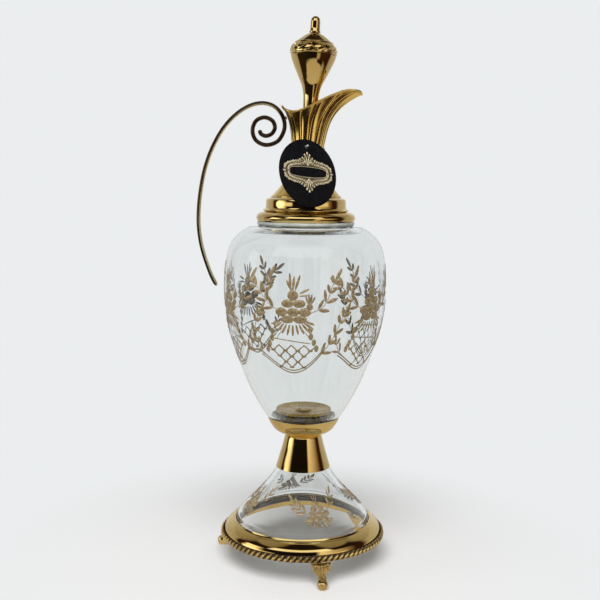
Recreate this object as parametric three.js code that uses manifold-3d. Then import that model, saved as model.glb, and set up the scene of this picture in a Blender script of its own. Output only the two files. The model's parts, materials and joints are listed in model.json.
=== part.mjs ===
// Footed glass ewer with gilt brass mounts, a lift-out stopper and a hanging label.
// Millimetres, +Z up. The origin is at the level of the toes, in the middle of the ewer's
// overall width and depth, and the pouring lip points along +X. Every piece is drawn about
// the vessel's own axis, and the whole ewer is then set over the origin.

import * as THREE from 'three';
import { ParametricGeometry } from 'three/addons/geometries/ParametricGeometry.js';
import * as BufferGeometryUtils from 'three/addons/utils/BufferGeometryUtils.js';
import Module from 'manifold-3d';

const wasm = await Module();
wasm.setup();

// ---- driving dimensions ----
const gap = 0.3;                 // clearance between neighbouring pieces
const glassWall = 3;
const sheetWall = 1.2;           // spun brass
const boltRadius = 2.8;
const holeRadius = boltRadius + gap;

const waistHeight = 308;         // narrowest part of the neck
const waistRadius = 11.8;
const waistX = 0.9;
const spoutWall = 1.3;
const fluteCount = 12;
const fluteDepth = 0.4;

const stopperLean = THREE.MathUtils.degToRad(2.9);
const rodRadius = 1.6;
const rodBore = rodRadius + gap;

const footCount = 3;
const firstFootAngle = THREE.MathUtils.degToRad(-77);
const toeRadius = 65.4;          // distance of a toe from the axis
const borderHeight = 17.2;       // underside of the rope border
const rivetRadius = 1;

const labelRadius = 24.2;
const labelThickness = 1;
const labelHole = 1.4;
const labelHoleOffset = 19.2;
const labelYaw = THREE.MathUtils.degToRad(36);
const labelTilt = THREE.MathUtils.degToRad(13.8);
const labelRoll = THREE.MathUtils.degToRad(4.1);
const labelCentre = new THREE.Vector3(1.2, -29.7, 288.6);
const threadRadius = 0.45;

const roundSegments = 32;
const smallSegments = 16;

// ---- finishes ----
const finish = {
  gilt: { color: 0xc79a3c, roughness: 0.12, metalness: 1 },
  glass: { color: 0xe4ecea, roughness: 0.02, metalness: 0 },
  cork: { color: 0xb08a5c, roughness: 0.9, metalness: 0 },
  seal: { color: 0x6f6a60, roughness: 0.7, metalness: 0 },
  steel: { color: 0x9c9c98, roughness: 0.35, metalness: 1 },
  card: { color: 0x0b0b0d, roughness: 0.35, metalness: 0 },
  thread: { color: 0xa8a8a8, roughness: 0.6, metalness: 0 },
};

// ---- shared helpers ----

// Merges shared corners, drops collapsed triangles and turns the faces outwards.
function sealed(geometry) {
  const bare = geometry.clone();
  bare.deleteAttribute('normal');
  bare.deleteAttribute('uv');
  const merged = BufferGeometryUtils.mergeVertices(bare, 1e-4);
  const index = merged.index.array;
  const point = merged.attributes.position;
  const corner = [new THREE.Vector3(), new THREE.Vector3(), new THREE.Vector3()];
  const kept = [];
  let volume = 0;
  for (let i = 0; i < index.length; i += 3) {
    const [a, b, c] = [index[i], index[i + 1], index[i + 2]];
    if (a === b || b === c || c === a) continue;
    kept.push(a, b, c);
    corner[0].fromBufferAttribute(point, a);
    corner[1].fromBufferAttribute(point, b);
    corner[2].fromBufferAttribute(point, c);
    volume += corner[0].dot(corner[1].cross(corner[2]));
  }
  if (volume < 0) kept.reverse();
  merged.setIndex(kept);
  return merged;
}

// Turns a closed outline of [radius, height] points about the Z axis.
function turned(outline, segments = roundSegments) {
  const points = outline.map(([r, z]) => new THREE.Vector2(r, z));
  const onAxis = points[0].x === 0 && points.at(-1).x === 0;
  if (!onAxis) points.push(points[0].clone());
  const lathe = new THREE.LatheGeometry(points, segments);
  lathe.rotateX(Math.PI / 2);
  return sealed(lathe);
}

// A smooth run of [radius, height] points through the given ones.
function smooth(outline, steps) {
  const curve = new THREE.SplineCurve(outline.map(([r, z]) => new THREE.Vector2(r, z)));
  return curve.getPoints(steps).map((p) => [p.x, p.y]);
}

// The outline of a wall that lies inside a run of outer points.
function walled(outer, wall) {
  const inner = outer.map(([r, z], i) => {
    const before = outer[Math.max(i - 1, 0)];
    const after = outer[Math.min(i + 1, outer.length - 1)];
    const along = new THREE.Vector2(after[0] - before[0], after[1] - before[1]).normalize();
    return [r - along.y * wall, z + along.x * wall];
  });
  return [...outer, ...inner.reverse()];
}

function toManifold(geometry) {
  const solid = sealed(geometry);
  return new wasm.Manifold(new wasm.Mesh({
    numProp: 3,
    vertProperties: new Float32Array(solid.attributes.position.array),
    triVerts: new Uint32Array(solid.index.array),
  }));
}

function fromManifold(solid) {
  const mesh = solid.getMesh();
  const geometry = new THREE.BufferGeometry();
  geometry.setAttribute('position', new THREE.BufferAttribute(mesh.vertProperties, 3));
  geometry.setIndex(new THREE.BufferAttribute(mesh.triVerts, 1));
  return geometry;
}

function cut(geometry, tools) {
  const solid = tools.reduce((rest, tool) => rest.subtract(toManifold(tool)), toManifold(geometry));
  return fromManifold(solid);
}

function joined(geometries) {
  const [first, ...others] = geometries.map(toManifold);
  return fromManifold(others.reduce((sum, other) => sum.add(other), first));
}

function piece(name, geometry, look) {
  const mesh = new THREE.Mesh(geometry, new THREE.MeshStandardMaterial(finish[look]));
  mesh.name = name;
  return mesh;
}

// ---- pouring spout and neck ----

const skirtOutline = [[25.8, 271.5], [20.8, 277], [16.3, 283], [13.6, 291], [12.2, 299.5]];

const rimPoints = [
  [40.2, 0, 344.4], [36.8, 4.6, 347.4], [29, 7.4, 348.2], [17, 10.8, 343.8], [4, 13.2, 337.4],
  [-6, 12.8, 333.2], [-13, 10, 332.8], [-17, 5.4, 334.6], [-18.8, 0, 336.9],
];
const rimCurve = new THREE.CatmullRomCurve3(
  [...rimPoints, ...rimPoints.slice(1, -1).reverse().map(([x, y, z]) => [x, -y, z])]
    .map(([x, y, z]) => new THREE.Vector3(x, y, z)),
  true,
);

// How far a rib has leaned out from the waist towards the rim at a share of its height.
const flare = (share) => 0.28 * share + 0.72 * share ** 3.6;

function spoutSurface(turn, rise, target) {
  const angle = turn * 2 * Math.PI;
  const skirtShare = 0.38;
  const depth = fluteDepth * (1 - Math.abs(Math.cos(angle * fluteCount / 2)));
  if (rise < skirtShare) {
    const steps = (rise / skirtShare) * skirtOutline.length;
    const low = Math.floor(steps);
    const full = [...skirtOutline, [waistRadius, waistHeight]];
    const [r0, z0] = full[low];
    const [r1, z1] = full[Math.min(low + 1, full.length - 1)];
    const radius = r0 + (r1 - r0) * (steps - low) - depth;
    const shift = waistX * (rise / skirtShare);
    const height = z0 + (z1 - z0) * (steps - low);
    return target.set(shift + radius * Math.cos(angle), radius * Math.sin(angle), height);
  }
  const share = (rise - skirtShare) / (1 - skirtShare);
  const rim = rimCurve.getPoint(turn);
  const lean = flare(share);
  const radius = waistRadius - depth;
  const x = waistX + radius * Math.cos(angle);
  const y = radius * Math.sin(angle);
  return target.set(
    x + (rim.x - x) * lean,
    y + (rim.y - y) * lean,
    waistHeight + (rim.z - waistHeight) * share,
  );
}

function spoutInside(turn, rise, target) {
  const step = 0.01;
  const low = Math.max(rise - step, 0);
  const high = Math.min(rise + step, 1);
  const up = spoutSurface(turn, high, new THREE.Vector3()).sub(spoutSurface(turn, low, new THREE.Vector3()));
  const next = spoutSurface((turn + step) % 1, rise, new THREE.Vector3());
  const round = next.sub(spoutSurface((turn - step + 1) % 1, rise, new THREE.Vector3()));
  const outward = round.cross(up).normalize();
  return spoutSurface(turn, rise, target).addScaledVector(outward, -spoutWall);
}

function spoutNeck() {
  const rows = 11;
  const wall = (turn, way, target) => {
    const row = Math.round(way * 2 * (rows + 1)) % (2 * (rows + 1));
    const side = turn % 1;
    if (row <= rows) return spoutSurface(side, row / rows, target);
    return spoutInside(side, (2 * rows + 1 - row) / rows, target);
  };
  return sealed(new ParametricGeometry(wall, roundSegments, 2 * (rows + 1)));
}

// ---- collar that caps the glass neck ----

function collarUpper() {
  const outer = [[26.2, 271.2], [27.9, 270.6], [29.1, 269.4], [29.3, 265], [29.9, 263.2], [31.4, 262.4]];
  return turned(walled(outer.reverse(), sheetWall));
}

function collarRim() {
  const crown = smooth([[30.6, 260.7], [33.6, 260.2], [36.2, 257.4], [35.6, 254.2]], 6);
  return turned([...crown.reverse(), [30.6, 259.4], [32.6, 259], [34.9, 256.8], [34.3, 254.2]].reverse());
}

const neckSeal = () => turned([[27.9, 254.6], [32, 254.6], [32, 258.4], [30.4, 258.8], [27.9, 258.8]]);

// ---- glass body ----

const bodyOutline = [
  [26.9, 108.4], [28.9, 111.3], [34.4, 120.2], [41.1, 133], [46.1, 144.8], [50.3, 156.5],
  [54.2, 168.6], [57.1, 180.3], [58.9, 191.9], [59.4, 203.6], [59.2, 215.3], [58.2, 227.1],
  [56, 235.6], [52.6, 241.5], [46.2, 247.2], [41.6, 249.7],
];

function glassBody() {
  const outer = smooth(bodyOutline, 13);
  const innerFloor = 106;
  const inside = walled(outer, glassWall).slice(outer.length).filter(([, z]) => z > innerFloor + 2);
  const neckWay = [[34.6, 250.2], [33.8, 251], [35.6, 252.4], [35, 254.1], [27.5, 254.1], [27.5, 262]];
  const seat = [[holeRadius, 97.7], [11.8, 98], [17.5, 99.5], [20.9, 101.9], [23.1, 104.4], [24.7, 107.6]];
  const mouth = [[24.5, 262], [24.5, 255.5], [30, 249.5]];
  const floor = [[20, innerFloor], [holeRadius, innerFloor]];
  return turned([...seat, ...outer, ...neckWay, ...mouth, ...inside, ...floor]);
}

// ---- fixing through the bottom of the glass ----

const innerSeal = () => turned([[holeRadius, 106.3], [17.5, 106.3], [17.5, 110.9], [holeRadius, 110.9]], 32);

function innerDisc() {
  const under = [[holeRadius, 111.2], [16, 111.2], [20.8, 113.2]];
  const over = [[20.8, 114.9], [16.4, 113.4], [holeRadius, 113.4]];
  return turned([...under, ...over], 32);
}

function tieBolt() {
  return turned([
    [0, 70.6], [boltRadius, 70.6], [boltRadius, 113.7], [6.2, 113.7], [6.2, 115.2], [4.4, 117], [0, 117.8],
  ], smallSegments);
}

function hexNut(low, high, acrossCorners, bore) {
  const nut = new THREE.CylinderGeometry(acrossCorners / 2, acrossCorners / 2, high - low, 6);
  nut.rotateX(Math.PI / 2);
  nut.translate(0, 0, (low + high) / 2);
  const drill = new THREE.CylinderGeometry(bore, bore, 2 * (high - low), smallSegments);
  drill.rotateX(Math.PI / 2);
  drill.translate(0, 0, (low + high) / 2);
  return cut(nut, [drill]);
}

function washer(inner, outer, low, high) {
  return turned([[inner, low], [outer, low], [outer, high], [inner, high]], smallSegments);
}

// ---- cup and cone between the glass body and the glass foot ----

function bodyCup() {
  const outer = smooth([
    [11.5, 95.3], [17.8, 96.9], [21.6, 99.2], [24.2, 102.6], [25.9, 105.6], [26.6, 107.9],
  ], 6);
  const inner = [
    [25.7, 107.9], [25.4, 107.1], [24.1, 103.8], [21.8, 101], [18.1, 98.6], [12, 97.3], [holeRadius, 97],
  ];
  return turned([[holeRadius, 95.3], ...outer, ...inner]);
}

function stemCone() {
  const outer = [
    [holeRadius, 95], [12.4, 95], [13.6, 93.6], [14.3, 91],
    [15.5, 86], [17.3, 79.8], [19.2, 73], [20.3, 69.6],
  ];
  const inner = [
    [19.2, 69.6], [18.1, 73], [16.1, 79.8], [14.3, 86], [13.1, 91], [12, 93.8], [holeRadius, 93.8],
  ];
  return turned([...outer, ...inner], 32);
}

// ---- glass foot ----

const footOutline = [
  [50.3, 28.2], [50, 31.5], [49.4, 33.6], [47.8, 35.7], [45.5, 38.5], [38.5, 45.4],
  [31.8, 52.3], [25.7, 59.9], [21.4, 66.2], [17.6, 71.4], [13.6, 77], [10.6, 81],
];

function glassFoot() {
  const outer = smooth(footOutline, 8);
  const inside = walled(outer, glassWall).slice(outer.length).filter(([, z]) => z > 29 && z < 76);
  return turned([...outer, [holeRadius, 82], [holeRadius, 78.6], [8.6, 78.2], ...inside, [47.7, 28.2]]);
}

const footGasket = () => turned([[47.4, 26.5], [51.6, 26.5], [51.6, 27.9], [47.4, 27.9]]);

const glassRetainer = () => turned([[47, 25], [54.8, 25], [54.8, 26.2], [47, 26.2]]);

// ---- base ring, rope border and feet ----

const footAngle = (i) => firstFootAngle + (i * 2 * Math.PI) / footCount;

// A rivet-shaped rod that points outwards through the ring at a foot.
function rivetRod(radius, inner, outer, angle, height) {
  const rod = new THREE.CylinderGeometry(radius, radius, outer - inner, 12);
  rod.rotateZ(Math.PI / 2);
  rod.translate((inner + outer) / 2, 0, 0);
  rod.rotateZ(angle);
  rod.translate(0, 0, height);
  return rod;
}

const rivetHeight = 19.6;

function baseRing() {
  const outer = smooth([
    [58.9, 17.4], [58.9, 22.4], [57.6, 25.6], [54.6, 28.4], [52.4, 29.8], [51.6, 31.1],
  ], 8);
  const shell = turned(walled(outer, sheetWall));
  const angles = [...Array(footCount).keys()].map(footAngle);
  const holes = angles.map((angle) => rivetRod(rivetRadius + gap, 50, 70, angle, rivetHeight));
  return cut(shell, holes);
}

function gadroonBorder() {
  const middle = [60.5, borderHeight + 2.7];
  const outline = [];
  const sides = 8;
  for (let i = 0; i < sides; i += 1) {
    const angle = (i / sides) * 2 * Math.PI;
    outline.push([middle[0] + 1.3 * Math.cos(angle), middle[1] + 2.7 * Math.sin(angle)]);
  }
  return turned(outline, 48);
}

// Level ovals from the leaf at the top of a foot to its toe: [height, distance, half width, half depth].
const footStations = [
  [16.8, 59, 0, 0], [16.8, 59, 7.9, 3.4], [14.6, 60, 7.2, 3.9], [12, 60.9, 5.6, 3.6], [9.6, 61.8, 4.2, 3.1],
  [7.9, 62.8, 3, 2.6], [6.9, 64.2, 3, 2.8], [5.6, 65, 3.6, 3.5], [3.8, toeRadius, 3.9, 3.9],
  [1.8, toeRadius, 3.5, 3.5], [0.4, toeRadius, 2.9, 2.9], [0, toeRadius, 2.4, 2.4], [0, toeRadius, 0, 0],
];

function foot(i) {
  const last = footStations.length - 1;
  const skin = (turn, way, target) => {
    const [height, distance, halfWidth, halfDepth] = footStations[Math.round(way * last)];
    const angle = (turn % 1) * 2 * Math.PI;
    return target.set(distance + halfDepth * Math.cos(angle), halfWidth * Math.sin(angle), height);
  };
  const leg = new ParametricGeometry(skin, 16, last);
  const lug = new THREE.BoxGeometry(2, 6, 9);
  lug.translate(55.9, 0, 18.2);
  const whole = joined([leg, lug]);
  whole.rotateZ(footAngle(i));
  return cut(whole, [rivetRod(rivetRadius + gap, 50, 60, footAngle(i), rivetHeight)]);
}

function footRivet(i) {
  const shank = rivetRod(rivetRadius, 54, 58.6, footAngle(i), rivetHeight);
  const head = rivetRod(1.9, 53.1, 54.6, footAngle(i), rivetHeight);
  return joined([shank, head]);
}

// ---- scrolled handle ----

const handleRoute = [
  [-65.2, 205.8], [-69.6, 214.4], [-75.4, 231.4], [-78.1, 246.2], [-78.4, 260.8], [-76.8, 276.4],
  [-73.6, 292], [-68.2, 306.8], [-60.3, 320.6], [-51, 330.6], [-41.4, 336.6], [-32.6, 338.6],
  [-24.9, 337], [-19.4, 332.3], [-16.4, 325.9], [-16.6, 319], [-21, 311.6], [-29.5, 308.8],
  [-36.8, 312.1], [-39.3, 319], [-36.9, 325.8], [-30.8, 328.5], [-25, 326.2], [-23.1, 321.3],
  [-25.3, 317], [-29.6, 315.3], [-33.2, 316.8], [-34.1, 319.6],
];

function handle() {
  const route = new THREE.CatmullRomCurve3(handleRoute.map(([x, z]) => new THREE.Vector3(x, 0, z)));
  const halfWidth = 2.6;
  const halfThickness = 1.55;
  const section = new THREE.Shape();
  section.absellipse(0, 0, halfWidth, halfThickness, 0, 2 * Math.PI);
  const strip = new THREE.ExtrudeGeometry(section, { extrudePath: route, steps: 76, curveSegments: 4 });
  return sealed(strip);
}

function handleSolder() {
  const bead = new THREE.SphereGeometry(1, 12, 8);
  bead.scale(0.5, 2.2, 1.6);
  bead.rotateY(THREE.MathUtils.degToRad(-20));
  bead.translate(-15, 0, 328.4);
  return sealed(bead);
}

// ---- stopper, upright about its own axis, with its zero at the waist of the neck ----

function stopperBody() {
  const outer = smooth([
    [5.4, 6], [5.4, 24], [5.5, 34], [6.1, 39], [7.4, 43.6],
    [9.5, 48.1], [11.8, 52.9], [14, 57.6], [15.8, 62], [16.5, 64.6],
  ], 10);
  const hollow = [[15.3, 64.6], [13.8, 60], [11.6, 55.5], [9.2, 51], [5, 46], [rodBore, 45]];
  return turned([[rodBore, -8.5], [4.6, -8.5], [4.6, 5.5], ...outer, ...hollow], 24);
}

function stopperCap() {
  const outer = smooth([
    [16.6, 64.9], [16.8, 67.1], [16.3, 69.6], [15, 71.8], [12.5, 74.3], [9.7, 76.6], [6.4, 78.9], [3.8, 80.1],
  ], 8);
  const hollow = [
    [rodBore, 80.1], [rodBore, 78.2], [6, 77.4], [9, 75.4], [13.6, 71.2], [15.3, 67.4], [15.4, 64.9],
  ];
  return turned([...outer, ...hollow], 24);
}

function stopperFinial() {
  const tip = [[3.5, 88.4], [3.1, 90.4], [2.2, 91.6], [1, 92.1], [0, 92.2]];
  return turned([[0, 86.6], [rodBore, 86.6], [rodBore, 80.4], [4.1, 80.4], [3.6, 82], ...tip], smallSegments);
}

const stopperRod = () => turned([[0, -13.4], [rodRadius, -13.4], [rodRadius, 86.2], [0, 86.2]], 12);

function stopperCork() {
  return turned([[4.9, -8.4], [8.5, -8.4], [9.3, -2], [9.4, 4.4], [8.8, 5.4], [4.9, 5.4]], 24);
}

function stopper() {
  const group = new THREE.Group();
  group.position.set(waistX, 0, waistHeight);
  group.rotation.y = stopperLean;
  group.add(
    piece('stopper_finial', stopperFinial(), 'gilt'),
    piece('stopper_cap', stopperCap(), 'gilt'),
    piece('stopper_body', stopperBody(), 'gilt'),
    piece('stopper_rod', stopperRod(), 'steel'),
    piece('stopper_cork', stopperCork(), 'cork'),
    piece('stopper_washer', washer(rodBore, 7.4, -9.8, -8.8), 'steel'),
    piece('stopper_nut', hexNut(-12.8, -10.1, 7.4, rodBore), 'steel'),
  );
  return group;
}

// ---- hanging label and its thread ----

const labelNormal = new THREE.Vector3(
  Math.sin(labelYaw) * Math.cos(labelTilt),
  -Math.cos(labelYaw) * Math.cos(labelTilt),
  Math.sin(labelTilt),
);
const level = new THREE.Vector3(Math.cos(labelYaw), Math.sin(labelYaw), 0);
const steep = new THREE.Vector3().crossVectors(labelNormal, level);
const labelTurned = (angle) => {
  const along = level.clone().multiplyScalar(Math.cos(angle));
  return along.addScaledVector(steep, Math.sin(angle));
};
const labelAcross = labelTurned(-labelRoll);
const labelUp = labelTurned(Math.PI / 2 - labelRoll);

function label() {
  const disc = new THREE.CylinderGeometry(labelRadius, labelRadius, labelThickness, roundSegments);
  disc.rotateX(Math.PI / 2);
  const punch = new THREE.CylinderGeometry(labelHole, labelHole, 4 * labelThickness, smallSegments);
  punch.rotateX(Math.PI / 2);
  punch.translate(0, labelHoleOffset, 0);
  const mesh = piece('label_disc', cut(disc, [punch]), 'card');
  mesh.position.copy(labelCentre);
  mesh.quaternion.setFromRotationMatrix(new THREE.Matrix4().makeBasis(labelAcross, labelUp, labelNormal));
  return mesh;
}

// A closed loop: round the waist, through the hole and back over the label's top edge.
function labelThread() {
  const hole = labelCentre.clone().addScaledVector(labelUp, labelHoleOffset);
  const near = (up, out) => hole.clone().addScaledVector(labelUp, up).addScaledVector(labelNormal, out);
  const round = (degrees, height, radius = 13.4) => {
    const angle = THREE.MathUtils.degToRad(degrees);
    return new THREE.Vector3(waistX + radius * Math.cos(angle), radius * Math.sin(angle), height);
  };
  const route = new THREE.CatmullRomCurve3([
    near(0, -2.5), near(0, 0), near(1, 1.5), near(3.5, 1.7), near(6, 1), near(6.6, -1), near(5.6, -4),
    round(-125, 310.4, 15), round(-165, 308.8), round(155, 307.6), round(115, 306.8), round(75, 306.4),
    round(35, 306), round(-5, 305.8), round(-42, 306, 14.4),
  ], true, 'centripetal');
  const section = new THREE.Shape();
  section.absellipse(0, 0, threadRadius, threadRadius, 0, 2 * Math.PI);
  return loop(route, section, 64);
}

// A section carried round a closed route, with its end joined to its start.
function loop(route, section, steps) {
  const sides = 6;
  const frames = route.computeFrenetFrames(steps, true);
  const ring = section.getSpacedPoints(sides);
  const skin = (turn, way, target) => {
    const step = Math.round(way * steps) % steps;
    const corner = ring[Math.round(turn * sides) % sides];
    target.copy(route.getPointAt(step / steps));
    target.addScaledVector(frames.normals[step], corner.x);
    return target.addScaledVector(frames.binormals[step], corner.y);
  };
  return sealed(new ParametricGeometry(skin, sides, steps));
}

// ---- the whole ewer ----

const ewer = new THREE.Group();
ewer.add(
  piece('spout_neck', spoutNeck(), 'gilt'),
  piece('collar_upper', collarUpper(), 'gilt'),
  piece('collar_rim', collarRim(), 'gilt'),
  piece('neck_seal', neckSeal(), 'seal'),
  piece('glass_body', glassBody(), 'glass'),
  piece('inner_seal', innerSeal(), 'seal'),
  piece('inner_disc', innerDisc(), 'gilt'),
  piece('tie_bolt', tieBolt(), 'steel'),
  piece('body_cup', bodyCup(), 'gilt'),
  piece('stem_cone', stemCone(), 'gilt'),
  piece('stem_washer', washer(holeRadius, 8, 77, 78.2), 'steel'),
  piece('stem_nut', hexNut(71.6, 76.7, 12.6, holeRadius), 'steel'),
  piece('glass_foot', glassFoot(), 'glass'),
  piece('foot_gasket', footGasket(), 'seal'),
  piece('glass_retainer', glassRetainer(), 'gilt'),
  piece('base_ring', baseRing(), 'gilt'),
  piece('gadroon_border', gadroonBorder(), 'gilt'),
  piece('handle', handle(), 'gilt'),
  piece('handle_solder', handleSolder(), 'gilt'),
  piece('label_thread', labelThread(), 'thread'),
  label(),
  stopper(),
);
for (let i = 0; i < footCount; i += 1) {
  ewer.add(piece(`foot_${i + 1}`, foot(i), 'gilt'));
  ewer.add(piece(`foot_rivet_${i + 1}`, footRivet(i), 'steel'));
}

const middle = new THREE.Box3().setFromObject(ewer, true).getCenter(new THREE.Vector3());
ewer.position.set(-middle.x, -middle.y, 0);

export default ewer;
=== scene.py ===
import json
import math
import random

import bmesh
import bpy
from mathutils import Matrix, Vector


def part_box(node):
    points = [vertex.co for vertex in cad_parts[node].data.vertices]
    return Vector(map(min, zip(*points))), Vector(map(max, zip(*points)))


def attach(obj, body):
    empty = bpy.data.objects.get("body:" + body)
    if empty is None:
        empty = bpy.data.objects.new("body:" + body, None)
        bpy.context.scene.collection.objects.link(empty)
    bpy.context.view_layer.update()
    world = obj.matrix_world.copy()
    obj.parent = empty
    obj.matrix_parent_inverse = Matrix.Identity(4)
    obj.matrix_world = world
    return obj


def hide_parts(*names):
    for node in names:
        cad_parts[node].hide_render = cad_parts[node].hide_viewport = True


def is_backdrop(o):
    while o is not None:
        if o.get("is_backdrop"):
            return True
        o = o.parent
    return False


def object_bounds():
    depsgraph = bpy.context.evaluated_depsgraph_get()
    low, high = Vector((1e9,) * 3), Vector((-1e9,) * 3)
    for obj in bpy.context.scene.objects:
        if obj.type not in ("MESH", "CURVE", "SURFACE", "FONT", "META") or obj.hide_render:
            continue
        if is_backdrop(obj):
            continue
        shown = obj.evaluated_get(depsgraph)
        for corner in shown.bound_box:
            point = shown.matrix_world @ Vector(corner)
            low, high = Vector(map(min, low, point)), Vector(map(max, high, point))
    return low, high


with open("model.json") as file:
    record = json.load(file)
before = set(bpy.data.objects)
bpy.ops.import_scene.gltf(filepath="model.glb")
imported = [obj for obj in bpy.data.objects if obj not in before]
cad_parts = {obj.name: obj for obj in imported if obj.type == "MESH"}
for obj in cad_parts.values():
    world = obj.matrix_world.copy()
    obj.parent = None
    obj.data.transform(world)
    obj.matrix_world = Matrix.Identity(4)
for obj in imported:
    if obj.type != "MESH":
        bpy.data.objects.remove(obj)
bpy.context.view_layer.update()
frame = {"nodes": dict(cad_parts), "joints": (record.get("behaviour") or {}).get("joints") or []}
millimetre = 0.001
glassLow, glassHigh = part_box("glass_body")
vesselAxis = (glassLow + glassHigh) / 2
vesselAxis.z = 0
random.seed(11)
print("frame loaded")


# The camera comes first, so that every stage can be looked at. Its place is taken from the vessel's axis.

cameraSetup = {
    "place": (0, -0.7015, 0.2833),
    "pitchDown": 7.11,
    "roll": 0.66,
    "lens": 57.3,
    "sideways": -0.0081,
}


def addCamera(setup):
    data = bpy.data.cameras.new("camera")
    data.lens = setup["lens"]
    data.sensor_width = 36
    data.shift_x = setup["sideways"]
    data.clip_start = 0.01
    camera = bpy.data.objects.new("camera", data)
    bpy.context.scene.collection.objects.link(camera)
    tilt = Matrix.Rotation(math.radians(90 - setup["pitchDown"]), 4, "X")
    roll = Matrix.Rotation(math.radians(setup["roll"]), 4, "Z")
    camera.matrix_world = Matrix.Translation(vesselAxis + Vector(setup["place"])) @ tilt @ roll
    bpy.context.scene.camera = camera


addCamera(cameraSetup)
print("camera placed")


# Steps that several pieces share.

def softLine(points, steps):
    # A smooth run through the points, with this many steps between two of them.
    line = []
    last = len(points) - 1
    for i in range(last):
        before = Vector(points[max(i - 1, 0)])
        here = Vector(points[i])
        there = Vector(points[i + 1])
        after = Vector(points[min(i + 2, last)])
        for step in range(steps):
            t = step / steps
            bend = 2 * here + (there - before) * t
            bend += (2 * before - 5 * here + 4 * there - after) * t * t
            bend += (3 * here - before - 3 * there + after) * t * t * t
            line.append(tuple(bend / 2))
    return line + [tuple(points[last])]


def closedLine(points, steps):
    # The same for a run that comes back to its first point.
    line = softLine(points[-2:] + points + points[:3], steps)
    return line[2 * steps:(2 + len(points)) * steps]


def inwardLine(line, wall):
    # The same run moved towards the axis side by the wall, walked the other way.
    moved = []
    for i, (r, z) in enumerate(line):
        before = line[max(i - 1, 0)]
        after = line[min(i + 1, len(line) - 1)]
        along = (Vector(after) - Vector(before)).normalized()
        moved.append((r - along.y * wall, z + along.x * wall))
    return moved[::-1]


def spin(mesh, outline, steps, closed=True):
    # Turns an outline once round the axis; it closes on itself unless it ends on the axis.
    verts = [mesh.verts.new((r, 0, z)) for r, z in outline]
    edges = [mesh.edges.new(pair) for pair in zip(verts, verts[1:])]
    if closed:
        edges.append(mesh.edges.new((verts[-1], verts[0])))
    bmesh.ops.spin(mesh, geom=verts + edges, cent=(0, 0, 0), axis=(0, 0, 1), angle=2 * math.pi,
                   steps=steps, use_merge=True)
    return mesh


def vertsOf(items):
    return [item for item in items if isinstance(item, bmesh.types.BMVert)]


def edgesOf(items):
    return [item for item in items if isinstance(item, bmesh.types.BMEdge)]


def sweep(mesh, stations, sides, closed=False):
    # Draws a ring through the stations. Each station is a matrix for a ring of radius 1.
    ring = bmesh.ops.create_circle(mesh, segments=sides, radius=1, matrix=stations[0])["verts"]
    first = list({edge for vert in ring for edge in vert.link_edges})
    edges = first
    for before, after in zip(stations, stations[1:]):
        grown = bmesh.ops.extrude_edge_only(mesh, edges=edges)["geom"]
        edges = edgesOf(grown)
        bmesh.ops.transform(mesh, matrix=after @ before.inverted(), verts=vertsOf(grown))
    if closed:
        bmesh.ops.bridge_loops(mesh, edges=first + edges)
    else:
        bmesh.ops.edgeloop_fill(mesh, edges=first)
        bmesh.ops.edgeloop_fill(mesh, edges=edges)
    return mesh


def stationsAlong(points, up, halfWidths, halfHeights):
    # Ring matrices along a route; up is the way that the ring's second side faces.
    stations = []
    last = len(points) - 1
    for i, point in enumerate(points):
        along = (Vector(points[min(i + 1, last)]) - Vector(points[max(i - 1, 0)])).normalized()
        side = Vector(up).cross(along).normalized()
        top = along.cross(side)
        turn = Matrix((side, top, along)).transposed().to_4x4()
        size = Matrix.Diagonal((halfWidths[i], halfHeights[i], 1, 1))
        stations.append(Matrix.Translation(point) @ turn @ size)
    return stations


def tubeRing(spot, way, radius):
    # A round ring at the spot, square to the way on.
    turn = Vector((0, 0, 1)).rotation_difference(way).to_matrix().to_4x4()
    return Matrix.Translation(spot) @ turn @ Matrix.Diagonal((radius, radius, 1, 1))


def levelWith(node, outline):
    # Moves an outline so that it starts at the height of its node in the frame.
    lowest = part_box(node)[0].z / millimetre
    lift = lowest - min(z for r, z in outline)
    return [(r, z + lift) for r, z in outline]


def finishPiece(mesh, name, body, material, stands=(), crease=35, outward=True):
    # Merges, turns the faces outwards, goes to metres, shades and takes its place in the frame.
    bmesh.ops.remove_doubles(mesh, verts=mesh.verts, dist=1e-4)
    bmesh.ops.dissolve_degenerate(mesh, dist=1e-5, edges=mesh.edges)
    if outward:
        bmesh.ops.recalc_face_normals(mesh, faces=mesh.faces)
    bmesh.ops.scale(mesh, vec=(millimetre,) * 3, verts=mesh.verts)
    bmesh.ops.translate(mesh, vec=vesselAxis, verts=mesh.verts)
    data = bpy.data.meshes.new(name)
    mesh.to_mesh(data)
    mesh.free()
    data.shade_smooth()
    if crease < 180:
        data.set_sharp_from_angle(angle=math.radians(crease))
    data.materials.append(material)
    piece = bpy.data.objects.new(name, data)
    bpy.context.scene.collection.objects.link(piece)
    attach(piece, body)
    if stands:
        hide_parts(*stands)
    return piece


# Materials, one function for each make-up.

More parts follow.
